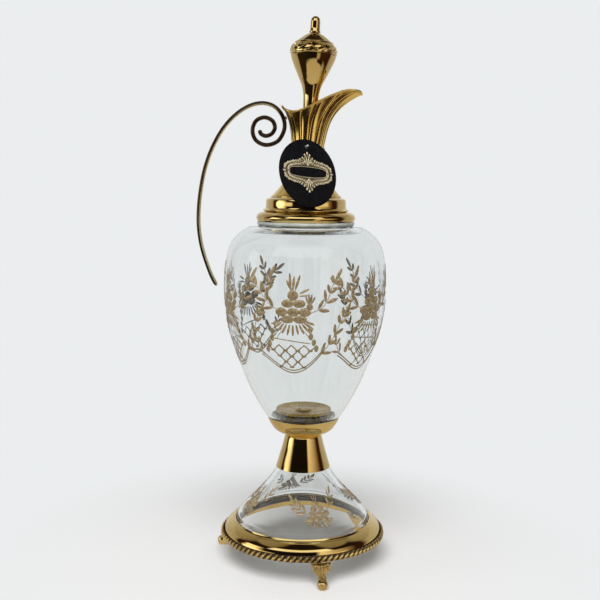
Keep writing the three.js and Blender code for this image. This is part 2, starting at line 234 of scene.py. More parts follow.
def brass(name, tint, tarnish, roughness, grain, crevices):
    # Gilt brass: cloudy tarnish, crevices darkened with patina and painted shade where it is cast, and a fine
    # polish grain.
    material = bpy.data.materials.new(name)
    material.use_nodes = True
    nodes = material.node_tree.nodes
    links = material.node_tree.links
    nodes.clear()

    place = nodes.new("ShaderNodeTexCoord")
    place.label = "place on the mount"
    spread = nodes.new("ShaderNodeMapping")
    spread.label = "grain runs round the turned mounts"
    spread.inputs["Scale"].default_value = (60, 60, 900)
    cloud = nodes.new("ShaderNodeTexNoise")
    cloud.label = "clouds of tarnish"
    cloud.inputs["Scale"].default_value = 45
    cloud.inputs["Detail"].default_value = 5
    cloudRamp = nodes.new("ShaderNodeValToRGB")
    cloudRamp.label = "where the gilding is thin"
    cloudRamp.color_ramp.elements[0].position = 0.38
    cloudRamp.color_ramp.elements[1].position = 0.72
    tone = nodes.new("ShaderNodeMix")
    tone.label = "gilding and tarnish"
    tone.data_type = "RGBA"
    tone.inputs["A"].default_value = (*tint, 1)
    tone.inputs["B"].default_value = (*tarnish, 1)
    # Painted shade with patina: the hollows of the mesh are darkened by the crevices share.
    hollow = nodes.new("ShaderNodeNewGeometry")
    hollow.label = "hollows of the casting"
    hollowRamp = nodes.new("ShaderNodeValToRGB")
    hollowRamp.label = "painted shade and patina gather in the hollows"
    hollowRamp.color_ramp.elements[0].position = 0.42
    hollowRamp.color_ramp.elements[0].color = (*[1 - crevices] * 3, 1)
    hollowRamp.color_ramp.elements[1].position = 0.5
    shadeAndPatina = nodes.new("ShaderNodeMix")
    shadeAndPatina.label = "painted shade and patina over the gilding"
    shadeAndPatina.data_type = "RGBA"
    shadeAndPatina.blend_type = "MULTIPLY"
    shadeAndPatina.inputs["Factor"].default_value = 1

    scuff = nodes.new("ShaderNodeTexNoise")
    scuff.label = "wipe marks"
    scuff.inputs["Scale"].default_value = 160
    scuff.inputs["Detail"].default_value = 4
    scuffRange = nodes.new("ShaderNodeMapRange")
    scuffRange.label = "polished to wiped"
    scuffRange.inputs["From Min"].default_value = 0.35
    scuffRange.inputs["From Max"].default_value = 0.75
    scuffRange.inputs["To Min"].default_value = roughness
    scuffRange.inputs["To Max"].default_value = roughness * 2.2
    lines = nodes.new("ShaderNodeTexNoise")
    lines.label = "polishing lines"
    lines.inputs["Scale"].default_value = 1
    lines.inputs["Detail"].default_value = 3
    relief = nodes.new("ShaderNodeBump")
    relief.label = "depth of the polishing lines"
    relief.inputs["Strength"].default_value = grain
    relief.inputs["Distance"].default_value = 0.0002

    shader = nodes.new("ShaderNodeBsdfPrincipled")
    shader.label = "gilt brass"
    shader.inputs["Metallic"].default_value = 1
    output = nodes.new("ShaderNodeOutputMaterial")
    output.label = "surface"

    colourFrame = nodes.new("NodeFrame")
    colourFrame.label = "colour"
    finishFrame = nodes.new("NodeFrame")
    finishFrame.label = "polish"
    for column, node in enumerate((cloud, cloudRamp, tone, hollow, hollowRamp, shadeAndPatina)):
        node.parent = colourFrame
        node.location = (-1100 + 200 * column, 300)
    for column, node in enumerate((scuff, scuffRange, spread, lines, relief)):
        node.parent = finishFrame
        node.location = (-1100 + 200 * column, -200)
    place.location = (-1400, 0)
    shader.location = (300, 100)
    output.location = (600, 100)

    links.new(place.outputs["Object"], cloud.inputs["Vector"])
    links.new(cloud.outputs["Fac"], cloudRamp.inputs["Fac"])
    links.new(cloudRamp.outputs["Color"], tone.inputs["Factor"])
    links.new(hollow.outputs["Pointiness"], hollowRamp.inputs["Fac"])
    links.new(tone.outputs["Result"], shadeAndPatina.inputs["A"])
    links.new(hollowRamp.outputs["Color"], shadeAndPatina.inputs["B"])
    links.new(shadeAndPatina.outputs["Result"], shader.inputs["Base Color"])
    links.new(place.outputs["Object"], scuff.inputs["Vector"])
    links.new(scuff.outputs["Fac"], scuffRange.inputs["Value"])
    links.new(scuffRange.outputs["Result"], shader.inputs["Roughness"])
    links.new(place.outputs["Object"], spread.inputs["Vector"])
    links.new(spread.outputs["Vector"], lines.inputs["Vector"])
    links.new(lines.outputs["Fac"], relief.inputs["Height"])
    links.new(relief.outputs["Normal"], shader.inputs["Normal"])
    links.new(shader.outputs["BSDF"], output.inputs["Surface"])
    return material


def highlightedBrass(name, patina, worn, attribute):
    # Dark patinated brass, also painted darker as a dark reflection, with a pale painted highlight where the
    # painted attribute is high; the worn tone is that highlight's colour.
    material = bpy.data.materials.new(name)
    material.use_nodes = True
    nodes = material.node_tree.nodes
    links = material.node_tree.links
    nodes.clear()

    place = nodes.new("ShaderNodeTexCoord")
    place.label = "place on the strip"
    blotch = nodes.new("ShaderNodeTexNoise")
    blotch.label = "blotches of patina"
    blotch.inputs["Scale"].default_value = 90
    blotch.inputs["Detail"].default_value = 4
    patinaTone = nodes.new("ShaderNodeMix")
    patinaTone.label = "light and dark patina"
    patinaTone.data_type = "RGBA"
    patinaTone.inputs["A"].default_value = (*patina, 1)
    patinaTone.inputs["B"].default_value = (*[part * 2.2 for part in patina], 1)
    # The attribute marks where the highlight is painted; elsewhere the patina is painted darker as a dark
    # reflection.
    painted = nodes.new("ShaderNodeAttribute")
    painted.label = "inner face of the arch"
    painted.attribute_name = attribute
    edge = nodes.new("ShaderNodeMath")
    edge.label = "uneven edge of the painted highlight"
    edge.operation = "MULTIPLY_ADD"
    edge.inputs[1].default_value = 0.35
    highlightRange = nodes.new("ShaderNodeMapRange")
    highlightRange.label = "where the highlight is painted"
    highlightRange.interpolation_type = "SMOOTHSTEP"
    highlightRange.inputs["From Min"].default_value = 0.45
    highlightRange.inputs["From Max"].default_value = 0.85
    tone = nodes.new("ShaderNodeMix")
    tone.label = "patina and painted highlight"
    tone.data_type = "RGBA"
    tone.inputs["B"].default_value = (*worn, 1)
    polish = nodes.new("ShaderNodeMapRange")
    polish.label = "dull patina to the highlighted face"
    polish.inputs["To Min"].default_value = 0.22
    polish.inputs["To Max"].default_value = 0.34
    relief = nodes.new("ShaderNodeBump")
    relief.label = "hammered surface"
    relief.inputs["Strength"].default_value = 0.05
    relief.inputs["Distance"].default_value = 0.0003
    shader = nodes.new("ShaderNodeBsdfPrincipled")
    shader.label = "patinated brass"
    shader.inputs["Metallic"].default_value = 1
    output = nodes.new("ShaderNodeOutputMaterial")
    output.label = "surface"

    highlightFrame = nodes.new("NodeFrame")
    highlightFrame.label = "painted highlight"
    patinaFrame = nodes.new("NodeFrame")
    patinaFrame.label = "patina"
    for column, node in enumerate((painted, edge, highlightRange, tone, polish)):
        node.parent = highlightFrame
        node.location = (-900 + 210 * column, 250)
    for column, node in enumerate((blotch, patinaTone, relief)):
        node.parent = patinaFrame
        node.location = (-900 + 210 * column, -200)
    place.location = (-1150, 0)
    shader.location = (250, 0)
    output.location = (550, 0)

    links.new(place.outputs["Object"], blotch.inputs["Vector"])
    links.new(blotch.outputs["Fac"], patinaTone.inputs["Factor"])
    links.new(blotch.outputs["Fac"], edge.inputs[0])
    links.new(painted.outputs["Fac"], edge.inputs[2])
    links.new(edge.outputs["Value"], highlightRange.inputs["Value"])
    links.new(highlightRange.outputs["Result"], tone.inputs["Factor"])
    links.new(patinaTone.outputs["Result"], tone.inputs["A"])
    links.new(tone.outputs["Result"], shader.inputs["Base Color"])
    links.new(highlightRange.outputs["Result"], polish.inputs["Value"])
    links.new(polish.outputs["Result"], shader.inputs["Roughness"])
    links.new(blotch.outputs["Fac"], relief.inputs["Height"])
    links.new(relief.outputs["Normal"], shader.inputs["Normal"])
    links.new(shader.outputs["BSDF"], output.inputs["Surface"])
    return material


def glass(name, tint, waves):
    # Blown glass: a faint tint, slow waves in the wall and a few finger smears.
    material = bpy.data.materials.new(name)
    material.use_nodes = True
    nodes = material.node_tree.nodes
    links = material.node_tree.links
    nodes.clear()

    place = nodes.new("ShaderNodeTexCoord")
    place.label = "place on the glass"
    wave = nodes.new("ShaderNodeTexNoise")
    wave.label = "slow waves of the blown wall"
    wave.inputs["Scale"].default_value = 22
    wave.inputs["Detail"].default_value = 1
    relief = nodes.new("ShaderNodeBump")
    relief.label = "depth of the waves"
    relief.inputs["Strength"].default_value = waves
    relief.inputs["Distance"].default_value = 0.002
    smear = nodes.new("ShaderNodeTexNoise")
    smear.label = "finger smears"
    smear.inputs["Scale"].default_value = 38
    smear.inputs["Detail"].default_value = 6
    smear.inputs["Distortion"].default_value = 0.8
    smearRange = nodes.new("ShaderNodeMapRange")
    smearRange.label = "clean to smeared"
    smearRange.inputs["From Min"].default_value = 0.5
    smearRange.inputs["From Max"].default_value = 0.8
    smearRange.inputs["To Min"].default_value = 0.0
    smearRange.inputs["To Max"].default_value = 0.06
    film = nodes.new("ShaderNodeMix")
    film.label = "clear glass and faint film"
    film.data_type = "RGBA"
    film.inputs["A"].default_value = (*tint, 1)
    film.inputs["B"].default_value = (*[part * 0.97 for part in tint], 1)
    shader = nodes.new("ShaderNodeBsdfPrincipled")
    shader.label = "glass"
    shader.inputs["Transmission Weight"].default_value = 1
    shader.inputs["IOR"].default_value = 1.5
    output = nodes.new("ShaderNodeOutputMaterial")
    output.label = "surface"

    wallFrame = nodes.new("NodeFrame")
    wallFrame.label = "blown wall"
    handFrame = nodes.new("NodeFrame")
    handFrame.label = "handling"
    for column, node in enumerate((wave, relief)):
        node.parent = wallFrame
        node.location = (-700 + 220 * column, -250)
    for column, node in enumerate((smear, smearRange, film)):
        node.parent = handFrame
        node.location = (-900 + 220 * column, 250)
    place.location = (-1150, 0)
    shader.location = (0, 0)
    output.location = (300, 0)

    links.new(place.outputs["Object"], wave.inputs["Vector"])
    links.new(wave.outputs["Fac"], relief.inputs["Height"])
    links.new(relief.outputs["Normal"], shader.inputs["Normal"])
    links.new(place.outputs["Object"], smear.inputs["Vector"])
    links.new(smear.outputs["Fac"], smearRange.inputs["Value"])
    links.new(smearRange.outputs["Result"], shader.inputs["Roughness"])
    links.new(smear.outputs["Fac"], film.inputs["Factor"])
    links.new(film.outputs["Result"], shader.inputs["Base Color"])
    links.new(shader.outputs["BSDF"], output.inputs["Surface"])
    return material


def plainStuff(name, light, dark, scale, stretch, roughness, depth, metallic=0.0, shine=0.5):
    # Cork, rubber, steel, card, foil and thread: two tones, an uneven finish and a small relief.
    material = bpy.data.materials.new(name)
    material.use_nodes = True
    nodes = material.node_tree.nodes
    links = material.node_tree.links
    nodes.clear()

    place = nodes.new("ShaderNodeTexCoord")
    place.label = "place on the piece"
    stretched = nodes.new("ShaderNodeMapping")
    stretched.label = "which way the grain runs"
    stretched.inputs["Scale"].default_value = stretch
    grain = nodes.new("ShaderNodeTexNoise")
    grain.label = "grain"
    grain.inputs["Scale"].default_value = scale
    grain.inputs["Detail"].default_value = 6
    tones = nodes.new("ShaderNodeValToRGB")
    tones.label = "dark to light grain"
    tones.color_ramp.elements[0].position = 0.32
    tones.color_ramp.elements[0].color = (*dark, 1)
    tones.color_ramp.elements[1].position = 0.68
    tones.color_ramp.elements[1].color = (*light, 1)
    finishRange = nodes.new("ShaderNodeMapRange")
    finishRange.label = "smooth to worn"
    finishRange.inputs["To Min"].default_value = roughness * 0.75
    finishRange.inputs["To Max"].default_value = min(roughness * 1.3, 1)
    relief = nodes.new("ShaderNodeBump")
    relief.label = "relief of the grain"
    relief.inputs["Strength"].default_value = depth
    relief.inputs["Distance"].default_value = 0.0003
    shader = nodes.new("ShaderNodeBsdfPrincipled")
    shader.label = name
    shader.inputs["Metallic"].default_value = metallic
    shader.inputs["Specular IOR Level"].default_value = shine
    output = nodes.new("ShaderNodeOutputMaterial")
    output.label = "surface"

    grainFrame = nodes.new("NodeFrame")
    grainFrame.label = "grain and wear"
    for column, node in enumerate((stretched, grain, tones, finishRange, relief)):
        node.parent = grainFrame
        node.location = (-1000 + 210 * column, 0)
    place.location = (-1250, 0)
    shader.location = (150, 0)
    output.location = (450, 0)

    links.new(place.outputs["Object"], stretched.inputs["Vector"])
    links.new(stretched.outputs["Vector"], grain.inputs["Vector"])
    links.new(grain.outputs["Fac"], tones.inputs["Fac"])
    links.new(tones.outputs["Color"], shader.inputs["Base Color"])
    links.new(grain.outputs["Fac"], finishRange.inputs["Value"])
    links.new(finishRange.outputs["Result"], shader.inputs["Roughness"])
    links.new(grain.outputs["Fac"], relief.inputs["Height"])
    links.new(relief.outputs["Normal"], shader.inputs["Normal"])
    links.new(shader.outputs["BSDF"], output.inputs["Surface"])
    return material


gold = (0.76, 0.57, 0.23)
oldGold = (0.60, 0.41, 0.14)
# The last number is how dark the hollows are painted, as patina and painted shade.
spunBrass = brass("spun_gilt_brass", gold, oldGold, 0.035, 0.03, 0.0)
spoutBrass = brass("fluted_gilt_brass", (0.86, 0.60, 0.18), (0.70, 0.46, 0.13), 0.13, 0.015, 0.25)
castBrass = brass("cast_gilt_brass", (0.76, 0.58, 0.25), (0.40, 0.26, 0.10), 0.1, 0.08, 0.9)
footBrass = brass("foot_gilt_brass", (0.78, 0.60, 0.26), (0.50, 0.34, 0.13), 0.1, 0.03, 0.6)
agedBrass = brass("aged_gilt_brass", (0.40, 0.27, 0.07), (0.26, 0.16, 0.045), 0.2, 0.06, 0.0)
# Handle: near-black patina, painted darker as the dark reflection on the outer face, and a pale painted
# highlight on the inner face.
handleBrass = highlightedBrass("handle_brass", (0.055, 0.034, 0.018), (0.78, 0.70, 0.48), "innerFace")
gildedCuts = plainStuff("gilded_cuts", (0.50, 0.40, 0.24), (0.22, 0.155, 0.075), 700, (1, 1, 1), 0.36, 0.3,
                        metallic=0.45)
foil = plainStuff("label_foil", (0.84, 0.77, 0.58), (0.46, 0.37, 0.20), 1100, (1, 1, 1), 0.4, 0.3,
                  metallic=0.3)
oldFoil = plainStuff("dull_label_foil", (0.16, 0.12, 0.06), (0.05, 0.035, 0.02), 1400, (1, 1, 1), 0.5, 0.3,
                     metallic=0.3)
clearGlass = glass("clear_glass", (0.925, 0.944, 0.94), 0.04)
stopperCork = plainStuff("stopper_cork", (0.55, 0.36, 0.20), (0.20, 0.11, 0.05), 420, (1, 1, 1), 0.85, 0.6)
sealRubber = plainStuff("seal_rubber", (0.22, 0.20, 0.17), (0.10, 0.09, 0.075), 260, (1, 1, 1), 0.6, 0.25)
paleSeal = plainStuff("pale_seal", (0.62, 0.62, 0.58), (0.40, 0.40, 0.37), 260, (1, 1, 1), 0.5, 0.2)
frostedBead = plainStuff("frosted_glass_bead", (0.50, 0.54, 0.49), (0.36, 0.39, 0.36), 160, (1, 1, 1), 0.15,
                         0.05)
discSeal = plainStuff("disc_seal", (0.36, 0.30, 0.20), (0.20, 0.16, 0.10), 260, (1, 1, 1), 0.5, 0.2)
# Patina tone that also stands in for the shade between the rope's lobes: painted shade.
darkGroove = plainStuff("dark_groove", (0.09, 0.06, 0.03), (0.03, 0.02, 0.012), 300, (1, 1, 1), 0.5, 0.2,
                        metallic=0.6)
blueSteel = plainStuff("blued_steel", (0.13, 0.16, 0.20), (0.05, 0.06, 0.08), 90, (1, 1, 1), 0.35, 0.1,
                       metallic=0.6)
steel = plainStuff("fixing_steel", (0.58, 0.56, 0.52), (0.34, 0.32, 0.29), 120, (1, 1, 9), 0.3, 0.2,
                   metallic=1)
blackCard = plainStuff("black_card", (0.006, 0.006, 0.008), (0.003, 0.003, 0.004), 300, (1, 1, 1), 0.45, 0.05,
                       shine=0.12)
greyThread = plainStuff("grey_thread", (0.60, 0.60, 0.61), (0.36, 0.36, 0.37), 1500, (1, 1, 3), 0.8, 0.6)
print("materials made")


# The glass body and the glass foot, each with its inner wall.

bodySize = {
    "wall": 3,
    "turns": 128,
    "outside": [(26.9, 108.4), (28.9, 111.3), (34.4, 120.2), (41.1, 133), (46.1, 144.8), (50.3, 156.5),
                (54.2, 168.6), (57.1, 180.3), (58.9, 191.9), (59.4, 203.6), (59.2, 215.3), (58.2, 227.1),
                (56, 235.6), (52.6, 241.5), (46.2, 247.2), (41.6, 249.7)],
    "seat": [(3.1, 97.7), (11.8, 98), (17.5, 99.5), (20.9, 101.9), (23.1, 104.4), (24.7, 107.6)],
    "neck": [(34.9, 250.3), (34.5, 250.9), (35.1, 251.4), (35.1, 254.1), (27.5, 254.1), (27.5, 262)],
    "bead": [(35.15, 251.3), (35.5, 251.5), (35.7, 252.4), (35.5, 253.6), (35.15, 253.9)],
    "mouth": [(24.5, 262), (24.5, 255.5), (30, 249.5)],
    "floor": 106, "floorRadius": 20, "floorRounding": 2, "boltHole": 3.1,
}
footSize = {
    "wall": 3,
    "turns": 128,
    "outside": [(50.3, 28.2), (50, 31.5), (49.4, 33.6), (47.8, 35.7), (45.5, 38.5), (38.5, 45.4),
                (31.8, 52.3), (25.7, 59.9), (21.4, 66.2), (17.6, 71.4), (13.6, 77), (10.6, 81)],
    "top": [(3.1, 82), (3.1, 78.6), (8.6, 78.2)],
    "rim": (47.7, 28.2),
    "insideLow": 29, "insideHigh": 76,
}
bodyLine = softLine(bodySize["outside"], 4)
footLine = softLine(footSize["outside"], 4)


def glassBody(size):
    lowest = size["floor"] + size["floorRounding"]
    inside = [point for point in inwardLine(bodyLine, size["wall"]) if point[1] > lowest]
    floor = [(size["floorRadius"], size["floor"]), (size["boltHole"], size["floor"])]
    outline = softLine(size["seat"], 3) + bodyLine + size["neck"] + size["mouth"] + inside + floor
    mesh = spin(bmesh.new(), levelWith("glass_body", outline), size["turns"])
    finishPiece(mesh, "glass_body_shown", "vessel", clearGlass, ["glass_body"], crease=50)
    bead = spin(bmesh.new(), size["bead"], size["turns"])
    finishPiece(bead, "glass_bead", "vessel", frostedBead, crease=50)


def glassFoot(size):
    inside = [point for point in inwardLine(footLine, size["wall"])
              if size["insideLow"] < point[1] < size["insideHigh"]]
    outline = footLine + size["top"] + inside + [size["rim"]]
    mesh = spin(bmesh.new(), levelWith("glass_foot", outline), size["turns"])
    finishPiece(mesh, "glass_foot_shown", "vessel", clearGlass, ["glass_foot"], crease=50)


glassBody(bodySize)
glassFoot(footSize)
print("glass made")


# The gilded cuts in the glass are drawn flat and then laid on the wall.

def addLeaf(mesh, start, end, width, rise=0.32):
    # A pointed leaf with a ridge, from its foot to its tip.
    start, end = Vector(start), Vector(end)
    way = end - start
    turn = Matrix.Rotation(math.atan2(way.y, way.x), 4, "Z") @ Matrix.Rotation(math.pi / 2, 4, "Y")
    size = Matrix.Diagonal((rise, width / 2, way.length / 2, 1))
    middle = (start + end) / 2
    place = Matrix.Translation((middle.x, middle.y, 0)) @ turn @ size
    bmesh.ops.create_uvsphere(mesh, u_segments=4, v_segments=6, radius=1, matrix=place)


def addBerry(mesh, middle, halfWidth, halfHeight, rise=0.7):
    place = Matrix.Translation((*middle, 0)) @ Matrix.Diagonal((halfWidth, halfHeight, rise, 1))
    bmesh.ops.create_uvsphere(mesh, u_segments=10, v_segments=6, radius=1, matrix=place)


def addLine(mesh, points, width, steps=4):
    route = [(x, y, 0) for x, y in softLine(points, steps)]
    count = len(route)
    stations = stationsAlong(route, (0, 0, 1), [width / 2] * count, [0.22] * count)
    sweep(mesh, stations, 4)


def addBranch(mesh, stem, pairs, length, width):
    # A stem with leaves in pairs that lean towards its tip, and one leaf at the tip.
    line = softLine(stem, 8)
    addLine(mesh, stem, 0.5)
    for i in range(pairs):
        share = (i + 0.7) / (pairs + 0.3)
        spot = round(share * (len(line) - 2))
        root = Vector(line[spot])
        way = (Vector(line[spot + 1]) - root).normalized()
        reach = length * (1 - 0.25 * share) * random.uniform(0.85, 1.1)
        for side in (-1, 1):
            lean = Matrix.Rotation(side * math.radians(random.uniform(27, 40)), 2) @ way
            addLeaf(mesh, root + lean * 0.7, root + lean * reach, width * random.uniform(0.85, 1.1))
    tip = Vector(line[-1])
    way = (tip - Vector(line[-3])).normalized()
    addLeaf(mesh, tip, tip + way * length, width)


def layOnWall(mesh, line, startHeight, roundRadius, turn, repeats, spacing=0):
    # Bends the flat drawing round a turned wall and repeats it. Up in the drawing goes up the wall.
    points = [Vector(point) for point in line]
    reach = [0.0]
    for before, after in zip(points, points[1:]):
        reach.append(reach[-1] + (after - before).length)
    start = next(reach[i] for i, point in enumerate(points) if point.y >= startHeight)
    for vert in mesh.verts:
        along = min(max(start + vert.co.y, 0), reach[-1] - 0.001)
        spot = next(i for i in range(len(reach) - 1) if reach[i + 1] > along)
        step = points[spot + 1] - points[spot]
        share = (along - reach[spot]) / step.length
        out = Vector((step.y, -step.x)).normalized()
        radius, height = points[spot] + step * share + out * vert.co.z
        angle = turn + vert.co.x / roundRadius
        vert.co = (radius * math.cos(angle), radius * math.sin(angle), height)
    everything = mesh.verts[:] + mesh.edges[:] + mesh.faces[:]
    if repeats > 1:
        bmesh.ops.spin(mesh, geom=everything, cent=(0, 0, 0), axis=(0, 0, 1), steps=repeats - 1,
                       angle=math.radians(spacing) * (repeats - 1), use_duplicate=True)
    bmesh.ops.remove_doubles(mesh, verts=mesh.verts, dist=1e-4)


bodyPattern = {
    "height": 187.2,        # the drawing's zero on the wall
    "stretch": 1.045,
    "roundRadius": 59.4,
    "turn": -218,           # degrees from +X to the middle of the first bunch
    "spacing": 60,
    "repeats": 5,           # one place at the back stays clear
    "middle": -1.5,         # the basket hangs a little to the left of the bunch
    # rows of berries: height, places across, half width and half height
    "rows": [(16.4, [0], 3.9, 3.6), (11, [-3.6, 4.4], 4.5, 2.8), (5.4, [-8, 0.3, 8.4], 4.3, 3.1),
             (0.5, [-3.8, 5.2], 4.9, 2.8)],
    # leaves on top of the bunch: from and to
    "crown": [(-1.6, 19.4, -2.4, 31.2), (0, 19.6, 0.9, 29), (1.4, 19.4, 5, 30), (-0.4, 19, -4.6, 26.5)],
    "crownWidth": 1.9,
    "bud": (11.7, 9),       # one berry beside the bunch, with a tuft over it
    "budHalfWidth": 2.3, "budHalfHeight": 2.4,
    "tuft": (-2.6, -0.8, 1, 2.8),
    # leaves between the bunch and the bud: from, to and width
    "sideLeaves": [(4.4, 17.6, 11.4, 20.8, 1.5), (4.4, 16, 10.6, 16.6, 1.4)],
    "fan": range(-160, -19, 14),            # degrees of the leaves that fan out below the bunch
    "fanHub": (9.2, 3.6), "fanUp": 0.6, "fanLength": (7, 9), "fanWidth": 1.7,
    "beads": [(-15.4, -6.6), (-16, -11.3), (-18.6, -15.4), (-21, -19.8)],
    "beadHalfWidth": 1.7, "beadHalfHeight": 2.5, "beadsDrawnIn": 0.9, "beadSag": 0.7,
    "stay": [(5, -5), (9.4, -9), (12.4, -13.2)],
    # branches: stem, pairs of leaves, length and width of a leaf
    "branches": [([(12.4, 4.9), (20.2, 8.4), (24.5, 14.6), (27, 21.6), (29.6, 26)], 4, 9.4, 2.5),
                 ([(-10.3, 6.7), (-15.9, 9.3), (-21, 14.5), (-25.3, 19.6), (-29, 22.6)], 4, 9.4, 2.5),
                 ([(-20.6, 14), (-19.4, 21), (-17, 27)], 2, 9.4, 2.5),
                 ([(18, -26), (25, -19.5), (30.5, -10.5), (34.5, -1), (37, 3.5)], 5, 9.4, 2.4),
                 ([(-22, -26.5), (-27.6, -20.6), (-30, -14)], 2, 7.6, 2)],
    "basketTop": [(-15.6, -12.8), (0, -14.6), (12.6, -16.2)],
    "basketRim": [(-27, -25.4), (-20, -29.6), (-11, -35.2), (-1, -38.2), (9, -35.4), (17, -29), (24, -20.8)],
    "rimLines": (0, 1.9),   # how far up the wall each line of the rim lies
    "netRows": 4, "netTop": -17.5, "netDrop": 4.1, "netPitch": 9.6,
    "netSpan": 19.5, "netTaper": 3,
    "netBow": 0.9, "netKnot": 2.1,
}


def berryBunch(mesh, size):
    # The bunch itself, its crown, the bud at its side and the leaves that fan out below.
    for height, places, halfWidth, halfHeight in size["rows"]:
        for x in places:
            addBerry(mesh, (x, height), halfWidth, halfHeight)
    for x0, y0, x1, y1 in size["crown"]:
        addLeaf(mesh, (x0, y0), (x1, y1), size["crownWidth"])
    budX, budY = size["bud"]
    addBerry(mesh, size["bud"], size["budHalfWidth"], size["budHalfHeight"])
    for lean in size["tuft"]:
        addLeaf(mesh, (budX + 0.4 * lean, budY + 2), (budX + 0.3 + 1.2 * lean, budY + 9.6 - abs(lean)), 1.4)
    for x0, y0, x1, y1, width in size["sideLeaves"]:
        addLeaf(mesh, (x0, y0), (x1, y1), width)
    for degrees in size["fan"]:
        way = Vector((math.cos(math.radians(degrees)), math.sin(math.radians(degrees))))
        start = Vector((way.x * size["fanHub"][0], way.y * size["fanHub"][1] + size["fanUp"]))
        addLeaf(mesh, start, start + way * random.uniform(*size["fanLength"]), size["fanWidth"])


def beadStrings(mesh, size):
    # A string of beads and a stay on each side, from the bunch down to the basket.
    for side in (-1, 1):
        for x, y in size["beads"]:
            bead = (side * x * size["beadsDrawnIn"] + size["middle"], y - (1 + side) * size["beadSag"])
            addBerry(mesh, bead, size["beadHalfWidth"], size["beadHalfHeight"], rise=0.5)
        addLine(mesh, [(side * x, y) for x, y in size["stay"]], 0.5)


def basket(mesh, size):
    # The double rim, and a net of bowed strokes with a knot where two of them meet.
    addLine(mesh, size["basketTop"], 0.75)
    for lift in size["rimLines"]:
        addLine(mesh, [(x, y + lift) for x, y in size["basketRim"]], 0.9)
    middle, knot = size["middle"], size["netKnot"]
    for row in range(size["netRows"]):
        y = size["netTop"] - row * size["netDrop"]
        low = y - size["netDrop"]
        halfSpan = size["netSpan"] - size["netTaper"] * row
        for column in range(-2, 3):
            x = middle + (column + 0.5 * (row % 2)) * size["netPitch"]
            for side in (-1, 1):
                end = x + side * size["netPitch"] / 2
                if abs(x - middle) < halfSpan and abs(end - middle) < halfSpan:
                    bow = ((x + end) / 2 + side, (y + low) / 2 - size["netBow"])
                    addLine(mesh, [(x, y), bow, (end, low)], 1.0)
                    addLeaf(mesh, (end - knot, low), (end + knot, low), 1.5, rise=0.28)


def bodyCuts(size):
    mesh = bmesh.new()
    berryBunch(mesh, size)
    beadStrings(mesh, size)
    for stem, pairs, length, width in size["branches"]:
        addBranch(mesh, stem, pairs, length, width)
    basket(mesh, size)
    bmesh.ops.scale(mesh, vec=(1, size["stretch"], 1), verts=mesh.verts)
    layOnWall(mesh, bodyLine, size["height"], size["roundRadius"], math.radians(size["turn"]),
              size["repeats"], size["spacing"])
    finishPiece(mesh, "body_cuts", "vessel", gildedCuts, crease=30)


footPattern = {
    "height": 44,
    "roundRadius": 40,
    "turn": -74,
    "spacing": 90,
    "repeats": 4,
    "berries": [(0, 7.6), (-2.2, 3.6), (3.6, 3.9), (-3.8, -0.6), (1.7, -0.6), (7, -0.2), (-5.4, -4.4),
                (-0.6, -4.6), (4.6, -4.4)],
    "berryRadius": 2.6,
    "tuft": (-3.4, -0.4, 2.4),
    "fan": range(-165, -10, 17), "fanHub": (6.6, 3.4), "fanMiddle": (0.6, -4), "fanLength": 4.2,
    "fanWidth": 1.5,
    "branches": [([(-7, -1), (-12.5, 3), (-19, 8.6)], 3, 9.4, 2.5),
                 ([(9, 2), (13.4, 7.4), (17.4, 13)], 2, 8, 2.1)],
}


def footCuts(size):
    mesh = bmesh.new()
    for x, y in size["berries"]:
        addBerry(mesh, (x, y), size["berryRadius"], size["berryRadius"] * 0.95, rise=0.75)
    for lean in size["tuft"]:
        addLeaf(mesh, (lean * 0.3, 9.6), (lean, 16.4 - abs(lean) * 0.5), 1.1)
    for degrees in size["fan"]:
        way = Vector((math.cos(math.radians(degrees)), math.sin(math.radians(degrees))))
        start = Vector((way.x * size["fanHub"][0], way.y * size["fanHub"][1])) + Vector(size["fanMiddle"])
        addLeaf(mesh, start, start + way * size["fanLength"], size["fanWidth"])
    for stem, pairs, length, width in size["branches"]:
        addBranch(mesh, stem, pairs, length, width)
    layOnWall(mesh, footLine, size["height"], size["roundRadius"], math.radians(size["turn"]),
              size["repeats"], size["spacing"])
    finishPiece(mesh, "foot_cuts", "vessel", gildedCuts, crease=30)


bodyCuts(bodyPattern)
footCuts(footPattern)
print("gilded cuts laid on the glass")


# The turned mounts. Each outline is the outer face, from one edge to the other.

mountTurns = 144

turnedMounts = {
    "collar_upper": {
        "outside": [(30.4, 261.4), (31.3, 261.7), (31.35, 262.5), (29.9, 263.2), (29.35, 265), (29.15, 269.2),
                    (28.2, 270.4), (26.2, 271.2)],
        "wall": 1.2, "soft": 4},
    "collar_rim": {
        "outside": [(35.6, 254.2), (36.3, 256.6), (35.4, 258.8), (33.6, 260.2), (31.9, 260.8), (30.4, 260.9),
                    (29.9, 261.3), (29.8, 262)],
        "wall": 1.2, "soft": 6},
    "body_cup": {
        "outside": [(11.5, 95.3), (17.8, 96.9), (21.6, 99.2), (24.2, 102.6), (25.9, 105.6), (26.6, 107.9)],
        "wall": 0.9, "soft": 6},
    "stem_cone": {
        "outside": [(20.3, 69.6), (19.2, 73), (17.3, 79.8), (15.5, 86), (14.3, 91), (13.6, 93.6), (12.4, 95)],
        "wall": 1.1, "soft": 6},
    "base_ring": {
        "outside": [(58.9, 17.4), (59.1, 20), (58.9, 22.4), (57.6, 25.6), (54.6, 28.4), (52.4, 29.8),
                    (51.6, 31.1)],
        "wall": 1.2, "soft": 6},
    "inner_disc": {
        "outside": [(16, 111.2), (20.4, 112.9), (20.8, 113.9), (20.3, 114.9), (18, 114.1), (13, 113.4),
                    (3.2, 113.4)],
        "wall": 0.8, "soft": 4, "finish": agedBrass},
}


